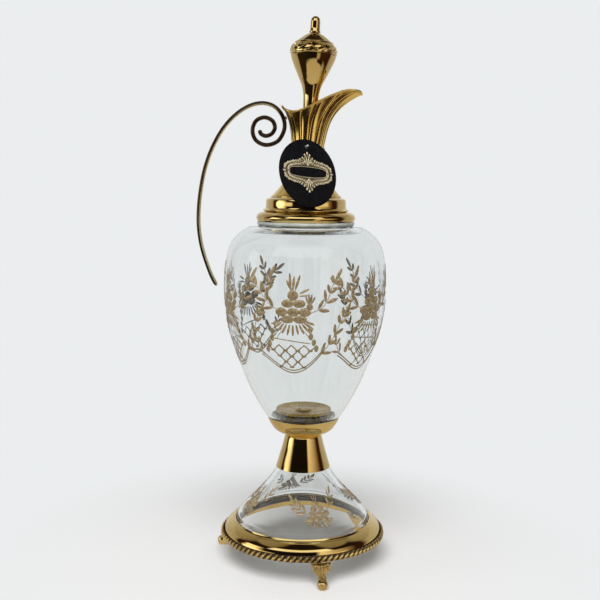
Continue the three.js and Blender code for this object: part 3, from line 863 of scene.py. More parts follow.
def turnedMount(node, size):
    line = softLine(size["outside"], size["soft"])
    outline = levelWith(node, line + inwardLine(line, size["wall"]))
    mesh = spin(bmesh.new(), outline, mountTurns)
    finish = size.get("finish", spunBrass)
    finishPiece(mesh, node + "_shown", "vessel", finish, [node], crease=48)


for mountName, mountSize in turnedMounts.items():
    turnedMount(mountName, mountSize)

boltSize = {
    "outside": [(0, 70.7), (1.9, 70.7), (2.5, 71.3), (2.5, 113.5), (5.9, 113.5), (5.9, 114.1), (5.2, 114.7),
                (3, 115), (0, 115.1)],
    "turns": 48,
}


def tieBolt(size):
    # Its domed head shows in the middle of the inner disc.
    mesh = spin(bmesh.new(), size["outside"], size["turns"], closed=False)
    finishPiece(mesh, "tie_bolt_shown", "vessel", agedBrass, ["tie_bolt"], crease=40)


tieBolt(boltSize)
print("turned mounts made")


# The fluted spout: skirt, waist and lip in one casting.

spoutSize = {
    "waistHeight": 308, "waistRadius": 11.8, "waistX": 0.9, "wall": 1.2,
    "beadRadius": 0.75, "beadDrop": 0.35,
    "flutes": 14, "fluteDepth": 0.75, "fluteSharpness": 2.4, "fluteGrowth": 1.6,
    "rings": 44, "sides": 224,
    "skirtShare": 0.38,                        # how many of the rings belong to the skirt
    "earlyLean": 0.28, "lipSuddenness": 3.6,   # how soon the rings lean out towards the lip
    "skirt": [(25.8, 271.5), (20.8, 277), (16.3, 283), (13.6, 291), (12.2, 299.5), (11.8, 308)],
    # half of the lip, from the tip of the beak round to the back
    "rim": [(40, 0, 345.6), (38.9, 3.5, 347.2), (35.8, 5.6, 348.1), (29, 7.4, 348.1), (17, 10.8, 343.8),
            (4, 13.2, 337.4), (-6, 12.8, 333.2), (-13, 10, 332.8), (-17, 5.4, 334.6), (-18.8, 0, 336.9)],
}


def spoutNeck(size):
    # Rings that are drawn up one by one; each ring's corners go from the round waist to the lip.
    half = size["rim"]
    whole = half + [(x, -y, z) for x, y, z in half[-2:0:-1]]
    loop = closedLine(whole, 40)
    skirt = softLine(size["skirt"], 12)

    def place(angle, rise):
        share = (angle / (2 * math.pi)) % 1
        groove = (1 - abs(math.cos(angle * size["flutes"] / 2))) ** size["fluteSharpness"]
        depth = size["fluteDepth"] * groove
        if rise < size["skirtShare"]:
            part = rise / size["skirtShare"]
            radius, height = skirt[round(part * (len(skirt) - 1))]
            radius -= depth * min(1, 0.15 + part * 2)
            shift = size["waistX"] * part
            return Vector((shift + radius * math.cos(angle), radius * math.sin(angle), height))
        part = (rise - size["skirtShare"]) / (1 - size["skirtShare"])
        lip = Vector(loop[int(share * len(loop)) % len(loop)])
        lean = size["earlyLean"] * part + (1 - size["earlyLean"]) * part ** size["lipSuddenness"]
        radius = size["waistRadius"]
        x = size["waistX"] + radius * math.cos(angle)
        y = radius * math.sin(angle)
        growth = (1 + size["fluteGrowth"] * part) * (1 - part ** 4)
        cut = Vector((math.cos(angle), math.sin(angle), 0)) * depth * growth
        height = size["waistHeight"] + (lip.z - size["waistHeight"]) * part
        return Vector((x + (lip.x - x) * lean, y + (lip.y - y) * lean, height)) - cut

    mesh = bmesh.new()
    ring = bmesh.ops.create_circle(mesh, segments=size["sides"], radius=1)["verts"]
    angles = {vert: math.atan2(vert.co.y, vert.co.x) % (2 * math.pi) for vert in ring}
    for vert in ring:
        vert.co = place(angles[vert], 0)
    edges = mesh.edges[:]
    for step in range(1, size["rings"] + 1):
        grown = bmesh.ops.extrude_edge_only(mesh, edges=edges)["geom"]
        edges = edgesOf(grown)
        raised = {}
        for vert in vertsOf(grown):
            below = next(edge.other_vert(vert) for edge in vert.link_edges if edge.other_vert(vert) in angles)
            raised[vert] = angles[below]
        for vert, angle in raised.items():
            vert.co = place(angle, step / size["rings"])
        angles = raised
    bmesh.ops.recalc_face_normals(mesh, faces=mesh.faces)
    piece = finishPiece(mesh, "spout_neck_shown", "vessel", spoutBrass, ["spout_neck"],
                        crease=28, outward=False)
    middle = vesselAxis + Vector((size["waistX"], 0, size["waistHeight"])) * millimetre
    face = min(piece.data.polygons, key=lambda one: abs(one.center.z - middle.z))
    outwards = (face.center - middle).dot(face.normal) > 0
    wall = piece.modifiers.new("wall", "SOLIDIFY")
    wall.thickness = size["wall"] * millimetre
    wall.offset = -1 if outwards else 1

    bead = bmesh.new()                         # rolled edge of the lip
    edge = [Vector(loop[i]) for i in range(0, len(loop), 4)]
    thick = size["beadRadius"]
    stations = []
    for i, point in enumerate(edge):
        way = (edge[(i + 1) % len(edge)] - edge[i - 1]).normalized()
        inwards = Vector((size["waistX"] - point.x, -point.y, 0)).normalized()
        spot = point + inwards * thick - Vector((0, 0, size["beadDrop"]))
        stations.append(tubeRing(spot, way, thick))
    sweep(bead, stations, 10, closed=True)
    finishPiece(bead, "spout_edge", "vessel", spoutBrass, crease=180)


spoutNeck(spoutSize)
print("spout made")


# The handle, one strip that ends in a scroll.

handleSize = {
    "halfWidth": 2.6,
    "halfThickness": 1.55,
    "endRounding": 4,                          # rings over which an end is rounded
    "sides": 20,
    "route": [(-65.2, 205.8), (-69.6, 214.4), (-75.4, 231.4), (-78.1, 246.2), (-78.4, 260.8), (-76.8, 276.4),
              (-73.6, 292), (-68.2, 306.8), (-60.3, 320.6), (-51, 330.6), (-41.4, 336.6), (-32.6, 338.6),
              (-24.9, 337), (-19.4, 332.3), (-16.4, 325.9), (-16.6, 319), (-21, 311.6), (-29.5, 308.8),
              (-36.8, 312.1), (-39.3, 319), (-36.9, 325.8), (-30.8, 328.5), (-25, 326.2), (-23.1, 321.3),
              (-25.3, 317), (-29.6, 315.3), (-33.2, 316.8), (-34.1, 319.6)],
}


def roundedShare(ringsToEnd, rounding):
    # Share of the full section this many rings from an end.
    if ringsToEnd >= rounding:
        return 1
    return math.sqrt(max(0.02, 1 - (1 - ringsToEnd / rounding) ** 2))


def handle(size):
    route = [(x, 0, z) for x, z in softLine(size["route"], 8)]
    count = len(route)
    shares = [roundedShare(min(i, count - 1 - i), size["endRounding"]) for i in range(count)]
    widths = [size["halfWidth"] * share for share in shares]
    depths = [size["halfThickness"] * share for share in shares]
    stations = stationsAlong(route, (0, 1, 0), depths, widths)
    mesh = sweep(bmesh.new(), stations, size["sides"])
    mesh.verts.index_update()
    inner = mesh.verts.layers.float.new("innerFace")
    for vert in mesh.verts:                    # 1 on the inner face, painted as a highlight; 0 on the outer face, painted dark
        ring = vert.index // size["sides"]
        reach = (stations[ring].inverted() @ vert.co).x
        # Along the scroll the painted highlight fades, so the scroll is painted darker.
        spiral = min(max((ring / count - 0.42) / 0.12, 0), 1)
        vert[inner] = min(max(0.5 + 1.9 * (reach - 0.3), 0), 1) * (1 - 0.85 * spiral)
    finishPiece(mesh, "handle_shown", "vessel", handleBrass, ["handle"], crease=60)


handle(handleSize)
print("handle made")


# The rope border under the base ring, and the cast feet.

ropeSize = {
    "lobes": 86, "radius": 60.4, "middle": 19.9,
    "halfDepth": 1.38, "halfWidth": 1.1, "halfHeight": 3.55,
    "slant": -47,                              # degrees from upright
    "coreIn": 0.6, "coreHalfWidth": 0.6, "coreHalfHeight": 2.4,
}


def ropeBorder(size):
    # A dark core behind the lobes, so that the gaps between them show dark: painted shade on a patina tone.
    groove = bmesh.new()
    core = [(size["radius"] - size["coreIn"] + size["coreHalfWidth"] * math.cos(a),
             size["middle"] + size["coreHalfHeight"] * math.sin(a))
            for a in [math.pi * i / 6 for i in range(12)]]
    spin(groove, core, mountTurns)
    finishPiece(groove, "rope_groove", "vessel", darkGroove, crease=60)
    mesh = bmesh.new()
    shape = Matrix.Diagonal((size["halfDepth"], size["halfWidth"], size["halfHeight"], 1))
    slant = Matrix.Rotation(math.radians(size["slant"]), 4, "X")
    place = Matrix.Translation((size["radius"], 0, size["middle"])) @ slant @ shape
    lobe = bmesh.ops.create_uvsphere(mesh, u_segments=8, v_segments=8, radius=1, matrix=place)["verts"]
    faces = list({face for vert in lobe for face in vert.link_faces})
    edges = list({edge for vert in lobe for edge in vert.link_edges})
    bmesh.ops.spin(mesh, geom=lobe + edges + faces, cent=(0, 0, 0), axis=(0, 0, 1), angle=2 * math.pi,
                   steps=size["lobes"], use_duplicate=True)
    finishPiece(mesh, "rope_border_shown", "vessel", castBrass, ["gadroon_border"], crease=60)


ropeBorder(ropeSize)

toeSize = {
    "count": 3,
    "sides": 28,
    "firstAngle": -77,
    # height, distance from the axis, half width, half depth
    "levels": [(16.8, 59, 7.7, 3.2), (14.6, 60, 6.9, 3.6), (12, 60.9, 5.3, 3.2), (9.6, 61.8, 3.9, 2.7),
               (7.9, 62.8, 2.6, 2.2), (6.9, 64.2, 2.7, 2.5), (5.6, 65, 3.3, 3.1), (3.8, 65.4, 3.7, 3.7),
               (1.8, 65.4, 3.4, 3.4), (0.5, 65.4, 2.7, 2.7), (0.02, 65.4, 2.1, 2.1)],
    # lobes on the front, each with its three radii, and its lean and tilt in degrees
    "leaf": {"away": 59.9, "bulge": 3.6, "curve": 2.6 / 6.9, "apart": 2.55, "height": 13.7,
             "radii": (1.15, 1.1, 3.4), "lean": 9, "tilt": -10},
    "row": {"away": 64.2, "apart": 2, "height": 9.9, "radii": (1.05, 0.95, 1.8), "lean": 10, "tilt": -14},
    "scroll": {"away": 64.2, "apart": 2, "height": 7.7, "radii": (1.25, 1.25, 1.05)},
    "toe": {"away": 65.3, "height": 3.7, "radii": (3.85, 3.85, 3.4)},
    "castGrain": 0.22,                         # how finely the lobes are joined into one skin
    "easing": 5,
}


def castFoot(size, index):
    mesh = bmesh.new()
    stations = [Matrix.Translation((away, 0, z)) @ Matrix.Diagonal((deep, wide, 1, 1))
                for z, away, wide, deep in softLine(size["levels"], 2)]
    sweep(mesh, stations, size["sides"])

    def lobe(place, radii, lean=0, tilt=0):
        turn = Matrix.Rotation(math.radians(lean), 4, "X") @ Matrix.Rotation(math.radians(tilt), 4, "Y")
        matrix = Matrix.Translation(place) @ turn @ Matrix.Diagonal((*radii, 1))
        bmesh.ops.create_uvsphere(mesh, u_segments=14, v_segments=10, radius=1, matrix=matrix)

    leaf, row, scroll, toe = size["leaf"], size["row"], size["scroll"], size["toe"]
    deep, wide, high = leaf["radii"]
    for side in range(-2, 3):                  # leaf at the top, in five flutes
        away = leaf["away"] + leaf["bulge"] * math.sqrt(1 - (side * leaf["curve"]) ** 2)
        lobe((away, side * leaf["apart"], leaf["height"] + 0.2 * side * side),
             (deep, wide, high - 0.25 * abs(side)), side * leaf["lean"], leaf["tilt"])
    for side in (-1, 0, 1):                    # second row of lobes
        lobe((row["away"] - 0.45 * abs(side), side * row["apart"], row["height"] + 0.3 * abs(side)),
             row["radii"], side * row["lean"], row["tilt"])
    for side in (-1, 1):                       # scrolls above the ankle
        lobe((scroll["away"], side * scroll["apart"], scroll["height"]), scroll["radii"])
    lobe((toe["away"], 0, toe["height"]), toe["radii"])
    bmesh.ops.rotate(mesh, verts=mesh.verts, cent=(0, 0, 0),
                     matrix=Matrix.Rotation(math.radians(size["firstAngle"] + 120 * index), 3, "Z"))
    for vert in mesh.verts:                    # nothing below the table
        vert.co.z = max(vert.co.z, 0)
    piece = finishPiece(mesh, f"cast_foot_{index + 1}", "vessel", footBrass,
                        [f"foot_{index + 1}"], crease=180)
    merged = piece.modifiers.new("one casting", "REMESH")
    merged.mode = "VOXEL"
    merged.voxel_size = size["castGrain"] * millimetre
    merged.use_smooth_shade = True
    eased = piece.modifiers.new("eased edges", "SMOOTH")
    eased.factor = 0.5
    eased.iterations = size["easing"]


for footIndex in range(toeSize["count"]):
    castFoot(toeSize, footIndex)
print("rope border and feet made")


# The stopper is drawn upright about its own axis, then set in the neck along the lift's axis.

liftAxis = next(Vector(joint["axis"]) for joint in frame["joints"] if joint["name"] == "stopper_lift")
stopperSeat = (Matrix.Translation((spoutSize["waistX"], 0, spoutSize["waistHeight"]))
               @ Vector((0, 0, 1)).rotation_difference(liftAxis).to_matrix().to_4x4())

stopperSize = {
    "body": [(5.4, 6), (5.4, 24), (5.5, 34), (6.1, 39), (7.4, 43.6), (9.5, 48.1), (11.8, 52.9), (14, 57.6),
             (15.8, 62), (16.4, 64.6)],
    "bodyInside": [(15.3, 64.6), (13.8, 60), (11.6, 55.5), (9.2, 51), (5, 46), (1.9, 45), (1.9, -8.5),
                   (4.6, -8.5), (4.6, 5.5)],
    "cap": [(16.5, 64.9), (16.7, 67.1), (16.3, 69.6), (15, 71.8), (12.5, 74.3), (9.7, 76.6), (6.4, 78.9),
            (3.8, 80.1)],
    "capInside": [(1.9, 80.1), (1.9, 78.2), (6, 77.4), (9, 75.4), (13.6, 71.2), (15.3, 67.4), (15.4, 64.9)],
    "finial": [(0, 86.6), (1.9, 86.6), (1.9, 80.4), (3.9, 80.4), (4.1, 81), (3.6, 82), (3.5, 85.4),
               (3.5, 88.4), (3.1, 90.4), (2.2, 91.6), (1, 92.1), (0, 92.2)],
    "turns": 96, "finialTurns": 48,
    "bandLow": 65.6, "bandHigh": 73.4, "bandRadius": 16, "bandLeaves": 15,
    # leaves of one stretch of the band: from, to, width and rise
    "bandLeaf": [(-3, 1.4, 3.4, 4.6, 2, 0.5), (-3.4, 4.6, 0.4, 6.4, 1, 0.4), (0, 0.6, 3.8, 2, 0.9, 0.4)],
    "bandEdge": 0.5,                           # radius of the wire at each edge of the band
}


def stopper(size):
    body = bmesh.new()
    spin(body, softLine(size["body"], 5) + size["bodyInside"], size["turns"])
    bmesh.ops.transform(body, matrix=stopperSeat, verts=body.verts)
    finishPiece(body, "stopper_body_shown", "stopper", spunBrass, ["stopper_body"], crease=40)

    cap = bmesh.new()
    capLine = softLine(size["cap"], 5)
    spin(cap, capLine + size["capInside"], size["turns"])
    bmesh.ops.transform(cap, matrix=stopperSeat, verts=cap.verts)
    finishPiece(cap, "stopper_cap_shown", "stopper", spunBrass, ["stopper_cap"], crease=40)

    band = bmesh.new()                         # waves and leaves chased in the cap
    lower = [point for point in capLine if size["bandLow"] <= point[1] <= size["bandHigh"]]
    for i in range(size["bandLeaves"]):
        x = i * 2 * math.pi * size["bandRadius"] / size["bandLeaves"]
        for x0, y0, x1, y1, width, rise in size["bandLeaf"]:
            addLeaf(band, (x + x0, y0), (x + x1, y1), width, rise)
    layOnWall(band, lower, lower[0][1], size["bandRadius"], 0, 1)
    for r, z in (lower[0], lower[-1]):
        wire = [(r + size["bandEdge"] * math.cos(a) - 0.1, z + size["bandEdge"] * math.sin(a))
                for a in [math.pi * k / 4 for k in range(8)]]
        spin(band, wire, size["turns"])
    bmesh.ops.transform(band, matrix=stopperSeat, verts=band.verts)
    finishPiece(band, "stopper_band", "stopper", castBrass, crease=40)

    finial = bmesh.new()
    spin(finial, size["finial"], size["finialTurns"], closed=False)
    bmesh.ops.transform(finial, matrix=stopperSeat, verts=finial.verts)
    finishPiece(finial, "stopper_finial_shown", "stopper", spunBrass, ["stopper_finial"],
                crease=50)


stopper(stopperSize)
print("stopper made")


# The label, its ornament and its thread.

labelSize = {
    "radius": 24.2, "thickness": 1, "hole": 1.4, "holeUp": 19.2,
    "edgeRounding": 0.22,
    "yaw": 36, "tilt": 13.8, "roll": 4.1,      # degrees; it leans on the skirt of the spout
}
yaw = math.radians(labelSize["yaw"])
tilt = math.radians(labelSize["tilt"])
labelOut = Vector((math.sin(yaw) * math.cos(tilt), -math.cos(yaw) * math.cos(tilt), math.sin(tilt)))
level = Vector((math.cos(yaw), math.sin(yaw), 0))
rolled = Matrix.Rotation(math.radians(-labelSize["roll"]), 3, labelOut)
labelAcross = rolled @ level
labelUp = rolled @ labelOut.cross(level)
labelLow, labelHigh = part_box("label_disc")
labelMiddle = ((labelLow + labelHigh) / 2 - vesselAxis) / millimetre
labelAxes = Matrix((labelAcross, labelUp, labelOut)).transposed().to_4x4()
labelPlane = Matrix.Translation(labelMiddle) @ labelAxes


def labelDisc(size):
    mesh = bmesh.new()
    half = size["thickness"] / 2
    back = Matrix.Translation((0, 0, -half))
    bmesh.ops.create_circle(mesh, segments=96, radius=size["radius"], matrix=back)
    holeBack = Matrix.Translation((0, size["holeUp"], -half))
    bmesh.ops.create_circle(mesh, segments=32, radius=size["hole"], matrix=holeBack)
    bmesh.ops.triangle_fill(mesh, use_beauty=True, edges=mesh.edges, normal=(0, 0, 1))
    grown = bmesh.ops.extrude_face_region(mesh, geom=mesh.faces[:])["geom"]
    bmesh.ops.translate(mesh, vec=(0, 0, size["thickness"]), verts=vertsOf(grown))
    edge = [one for one in mesh.edges if one.calc_face_angle(0) > 1]
    bmesh.ops.bevel(mesh, geom=edge, offset=size["edgeRounding"], affect="EDGES", segments=2, profile=0.5,
                    material=-1)
    bmesh.ops.transform(mesh, matrix=labelPlane, verts=mesh.verts)
    finishPiece(mesh, "label_shown", "label", blackCard, ["label_disc"], crease=30)


ornamentSize = {
    "up": 0.6,                                 # above the middle of the label
    "wide": 20.6, "tall": 8.4,
    "crest": 5.6, "crestReach": 4.4,           # how high and how wide it swells in the middle
    "panelWide": 15.8, "panelTall": 3.8,
    "plate": 0.12, "plateShare": 0.95,
    "leaves": 60, "curlEvery": 3,
    "lineWidth": 0.5, "lineCorners": 72, "lineShare": 0.84,
    "fanLeans": (-60, -36, -12, 12, 36, 60), "fanFrom": 5.2, "fanReach": 6.6,
}


def labelOrnament(size):
    # A pierced plate with a crest above and below, leaves and beads on it, round an empty black panel.
    front = labelPlane @ Matrix.Translation((0, size["up"], labelSize["thickness"] / 2))

    def edgeOf(turn, share=1):
        x = size["wide"] * math.cos(turn)
        rise = abs(math.sin(turn))
        y = size["tall"] * rise ** 0.62 + size["crest"] * math.exp(-(x / size["crestReach"]) ** 2) * rise
        return Vector((x * share, math.copysign(y, math.sin(turn)) * share))

    def panelOf(turn):
        y = size["panelTall"] * abs(math.sin(turn)) ** 0.45
        return Vector((size["panelWide"] * math.cos(turn), math.copysign(y, math.sin(turn))))

    plate = bmesh.new()
    loops = []
    for along in (lambda turn: edgeOf(turn, size["plateShare"]), panelOf):
        ring = bmesh.ops.create_circle(plate, segments=120, radius=1)["verts"]
        loops += list({edge for vert in ring for edge in vert.link_edges})
        for vert in ring:
            spot = along(math.atan2(vert.co.y, vert.co.x))
            vert.co = (spot.x, spot.y, 0)
    bmesh.ops.bridge_loops(plate, edges=loops)
    grown = bmesh.ops.extrude_face_region(plate, geom=plate.faces[:])["geom"]
    bmesh.ops.translate(plate, vec=(0, 0, size["plate"]), verts=vertsOf(grown))
    bmesh.ops.transform(plate, matrix=front, verts=plate.verts)
    finishPiece(plate, "label_plate", "label", oldFoil, crease=30)

    mesh = bmesh.new()
    for i in range(size["leaves"]):            # a wreath of leaves and beads round the panel
        turn = 2 * math.pi * i / size["leaves"]
        spot = edgeOf(turn, 0.97)
        out = (edgeOf(turn, 1.1) - edgeOf(turn, 0.8)).normalized()
        addLeaf(mesh, spot - out * 1.3, spot + out * 0.7, 1.5, rise=0.34)
        between = (edgeOf(turn + 0.05, 0.85) * 0.62) + panelOf(turn + 0.05) * 0.38
        addBerry(mesh, between, 0.7, 0.6, rise=0.36)
        near = (edgeOf(turn, 0.85) * 0.3) + panelOf(turn) * 0.7
        addLeaf(mesh, near - out * 0.2, near + out * 1.2, 0.8, rise=0.34)
        if i % size["curlEvery"] == 0:
            addBerry(mesh, edgeOf(turn, 0.99), 0.85, 0.75, rise=0.34)
    corners = size["lineCorners"]
    for along in (panelOf, lambda turn: edgeOf(turn, size["lineShare"])):
        rim = [tuple(along(2 * math.pi * i / corners)) for i in range(corners + 1)]
        addLine(mesh, rim, size["lineWidth"], steps=1)
    for side in (-1, 1):                       # crest above and below, with a fan of leaves
        for lean in size["fanLeans"]:
            way = Vector((math.sin(math.radians(lean)), side * math.cos(math.radians(lean))))
            start = Vector((0, side * size["fanFrom"])) + way * 0.8
            addLeaf(mesh, start, start + way * (size["fanReach"] - abs(lean) * 0.045), 1.1, rise=0.36)
        addBerry(mesh, (0, side * (size["fanFrom"] + 0.2)), 1.1, 1, rise=0.4)
    bmesh.ops.transform(mesh, matrix=front, verts=mesh.verts)
    finishPiece(mesh, "label_ornament", "label", foil, crease=30)


threadSize = {
    "radius": 0.38,
    "strandOff": 0.45,                         # each strand's place beside the middle of the hole
    "behind": 2.4, "face": 0.8, "bend": 1.5,   # how far behind and in front of the label it passes
    "knotOut": 1.8, "knotRadius": 0.75,
    "loopRadius": 12.35, "loopHeight": 306.6, "loopDegrees": range(-40, 201, 40),
    "lastPlace": (-122, 12.6, 306.8),          # degrees, radius and height where the loop comes back
}


def labelThread(size):
    # A closed loop: its knot lies in front of the hole, and both strands go back through it to the waist.
    hole = labelMiddle + labelUp * labelSize["holeUp"]

    def near(across, out):
        return hole + labelAcross * across + labelOut * out

    def around(degrees, radius, height):
        angle = math.radians(degrees)
        return Vector((spoutSize["waistX"] + radius * math.cos(angle), radius * math.sin(angle), height))

    off, face, bend = size["strandOff"], size["face"], size["bend"]
    route = [near(-off, -size["behind"]), near(-off, -face), near(-off, face), near(-off * 2 / 3, bend),
             near(off * 2 / 3, bend), near(off, face), near(off, -face), near(off, -size["behind"])]
    route += [around(degrees, size["loopRadius"], size["loopHeight"]) for degrees in size["loopDegrees"]]
    route.append(around(*size["lastPlace"]))
    line = closedLine(route, 6)
    stations = []
    for i, point in enumerate(line):
        way = (Vector(line[(i + 1) % len(line)]) - Vector(line[i - 1])).normalized()
        stations.append(tubeRing(point, way, size["radius"]))
    mesh = sweep(bmesh.new(), stations, 10, closed=True)
    bmesh.ops.create_uvsphere(mesh, u_segments=16, v_segments=10, radius=size["knotRadius"],
                              matrix=Matrix.Translation(near(0, size["knotOut"])))
    finishPiece(mesh, "label_thread_shown", "vessel", greyThread, ["label_thread"], crease=180)


labelDisc(labelSize)
labelOrnament(ornamentSize)
labelThread(threadSize)
print("label made")


# Finishes of the pieces that stay as the frame has them.

keptNodes = {
    "neck_seal": paleSeal, "inner_seal": discSeal, "foot_gasket": sealRubber,
    "stem_washer": steel, "stem_nut": steel,
    "glass_retainer": blueSteel, "handle_solder": castBrass,
    "foot_rivet_1": steel, "foot_rivet_2": steel, "foot_rivet_3": steel,
    "stopper_rod": steel, "stopper_washer": steel, "stopper_nut": steel, "stopper_cork": stopperCork,
}
for nodeName, nodeFinish in keptNodes.items():
    node = frame["nodes"][nodeName]
    node.data.materials.clear()
    node.data.materials.append(nodeFinish)
print("kept pieces finished")


# Floor, room and light.

studioSize = {
    "backdrop": (0.832, 0.848, 0.856),
    "floorRadius": 0.45,
    "floorDrop": 0.0002,
    "floorTone": (0.86, 0.865, 0.875),
    "floorMirrored": (0.62, 0.57, 0.47),       # as the mounts see it
    "fadeFrom": 0.08, "fadeTo": 0.27,          # distance over which the table goes into the backdrop
    "softboxPower": 18.0,
    "softboxWide": 0.9,
    "softboxPlace": (-0.08, -0.9, 1.2),
}


def addFloor(size):
    mesh = bmesh.new()
    place = Matrix.Translation((0, 0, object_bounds()[0].z - size["floorDrop"]))
    bmesh.ops.create_circle(mesh, cap_ends=True, segments=96, radius=size["floorRadius"], matrix=place)
    data = bpy.data.meshes.new("floor")
    mesh.to_mesh(data)
    mesh.free()
    floor = bpy.data.objects.new("floor", data)
    bpy.context.scene.collection.objects.link(floor)
    material = bpy.data.materials.new("pale_table")
    material.use_nodes = True
    nodes = material.node_tree.nodes
    links = material.node_tree.links
    nodes.clear()
    place = nodes.new("ShaderNodeTexCoord")
    place.label = "place on the table"
    away = nodes.new("ShaderNodeVectorMath")
    away.label = "distance from the middle"
    away.operation = "LENGTH"
    fade = nodes.new("ShaderNodeMapRange")
    fade.label = "table into backdrop"
    fade.interpolation_type = "SMOOTHSTEP"
    fade.inputs["From Min"].default_value = size["fadeFrom"]
    fade.inputs["From Max"].default_value = size["fadeTo"]
    table = nodes.new("ShaderNodeBsdfDiffuse")
    table.label = "table"
    table.inputs["Color"].default_value = (*size["floorTone"], 1)
    paper = nodes.new("ShaderNodeEmission")
    paper.label = "backdrop"
    paper.inputs["Color"].default_value = (*size["backdrop"], 1)
    join = nodes.new("ShaderNodeMixShader")
    join.label = "table and backdrop"
    path = nodes.new("ShaderNodeLightPath")
    path.label = "mirrored in the mounts"
    dimmed = nodes.new("ShaderNodeEmission")
    dimmed.label = "table as the mounts see it"
    dimmed.inputs["Color"].default_value = (*size["floorMirrored"], 1)
    choose = nodes.new("ShaderNodeMixShader")
    choose.label = "straight on or mirrored"
    output = nodes.new("ShaderNodeOutputMaterial")
    output.label = "surface"
    for column, node in enumerate((place, away, fade, table, paper, join, path, dimmed, choose, output)):
        node.location = (-1500 + 220 * column, 0)
    links.new(place.outputs["Object"], away.inputs[0])
    links.new(away.outputs["Value"], fade.inputs["Value"])
    links.new(fade.outputs["Result"], join.inputs["Fac"])
    links.new(table.outputs["BSDF"], join.inputs[1])
    links.new(paper.outputs["Emission"], join.inputs[2])
    links.new(path.outputs["Is Reflection Ray"], choose.inputs["Fac"])
    links.new(join.outputs["Shader"], choose.inputs[1])
    links.new(dimmed.outputs["Emission"], choose.inputs[2])
    links.new(choose.outputs["Shader"], output.inputs["Surface"])
    floor.data.materials.append(material)
    floor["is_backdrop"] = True


# What the mounts mirror: height in degrees, then bearings from the camera's side and the tone at each.
roomLevels = [
    (-90, [(-180, (0.60, 0.61, 0.62)), (-112, (0.50, 0.49, 0.48)), (-98, (0.06, 0.04, 0.03)),
           (-52, (0.03, 0.02, 0.015)), (-44, (0.62, 0.57, 0.47)), (18, (0.62, 0.57, 0.47)),
           (25, (0.02, 0.012, 0.01)), (56, (0.02, 0.012, 0.01)), (64, (0.50, 0.46, 0.38)),
           (96, (0.42, 0.38, 0.32)), (180, (0.60, 0.61, 0.62))]),
    (-36, [(-180, (0.86, 0.87, 0.89)), (-140, (0.58, 0.58, 0.58)), (-98, (0.50, 0.48, 0.46)),
           (-90, (0.03, 0.02, 0.015)), (16, (0.010, 0.008, 0.007)), (21, (0.60, 0.52, 0.40)),
           (31, (0.50, 0.42, 0.32)), (38, (0.05, 0.02, 0.012)), (94, (0.04, 0.015, 0.010)),
           (104, (0.50, 0.48, 0.46)), (140, (0.58, 0.58, 0.58)), (180, (0.86, 0.87, 0.89))]),
    (-3, [(-180, (0.87, 0.88, 0.90)), (-140, (0.58, 0.58, 0.58)), (-112, (0.50, 0.48, 0.46)),
          (-104, (0.04, 0.015, 0.01)), (-96, (0.04, 0.015, 0.01)), (-90, (2.2, 2.3, 2.3)),
          (-68, (1.9, 1.9, 1.8)), (-60, (1.1, 1.0, 0.85)), (-42, (1.1, 1.0, 0.85)),
          (-37, (0.010, 0.008, 0.007)), (18, (0.010, 0.008, 0.007)), (25, (1.2, 1.1, 0.95)),
          (62, (1.1, 1.0, 0.85)), (70, (0.30, 0.22, 0.15)), (82, (0.04, 0.015, 0.010)),
          (97, (0.04, 0.015, 0.010)), (108, (0.50, 0.48, 0.46)), (140, (0.58, 0.58, 0.58)),
          (180, (0.87, 0.88, 0.90))]),
    (5, [(-180, (0.87, 0.88, 0.90)), (-140, (0.58, 0.58, 0.58)), (-112, (0.50, 0.48, 0.46)),
         (-104, (0.04, 0.015, 0.01)), (-92, (0.04, 0.015, 0.01)), (-86, (1.9, 1.9, 1.85)),
         (-70, (1.5, 1.45, 1.3)), (-62, (0.60, 0.50, 0.36)), (-56, (0.010, 0.008, 0.007)),
         (20, (0.010, 0.008, 0.007)), (27, (1.1, 1.0, 0.85)), (50, (0.70, 0.60, 0.48)),
         (70, (0.30, 0.22, 0.15)), (82, (0.04, 0.015, 0.010)), (97, (0.04, 0.015, 0.010)),
         (108, (0.50, 0.48, 0.46)), (140, (0.58, 0.58, 0.58)), (180, (0.87, 0.88, 0.90))]),
    (25, [(-180, (0.62, 0.63, 0.64)), (-112, (0.36, 0.34, 0.30)), (-98, (0.02, 0.012, 0.01)),
          (-56, (0.02, 0.012, 0.01)), (-48, (1.35, 1.4, 1.4)), (42, (1.3, 1.32, 1.3)),
          (50, (0.02, 0.012, 0.01)), (100, (0.02, 0.012, 0.01)), (112, (0.36, 0.34, 0.30)),
          (180, (0.62, 0.63, 0.64))]),
    (52, [(-180, (0.03, 0.02, 0.015)), (-148, (0.04, 0.03, 0.02)), (-118, (0.36, 0.33, 0.27)),
          (-66, (0.28, 0.24, 0.17)), (-50, (0.02, 0.01, 0.008)), (50, (0.02, 0.01, 0.008)),
          (66, (0.28, 0.24, 0.17)), (118, (0.36, 0.33, 0.27)), (148, (0.04, 0.03, 0.02)),
          (180, (0.03, 0.02, 0.015))]),
]
levelBlend = 4                                 # degrees over which one level goes over into the next


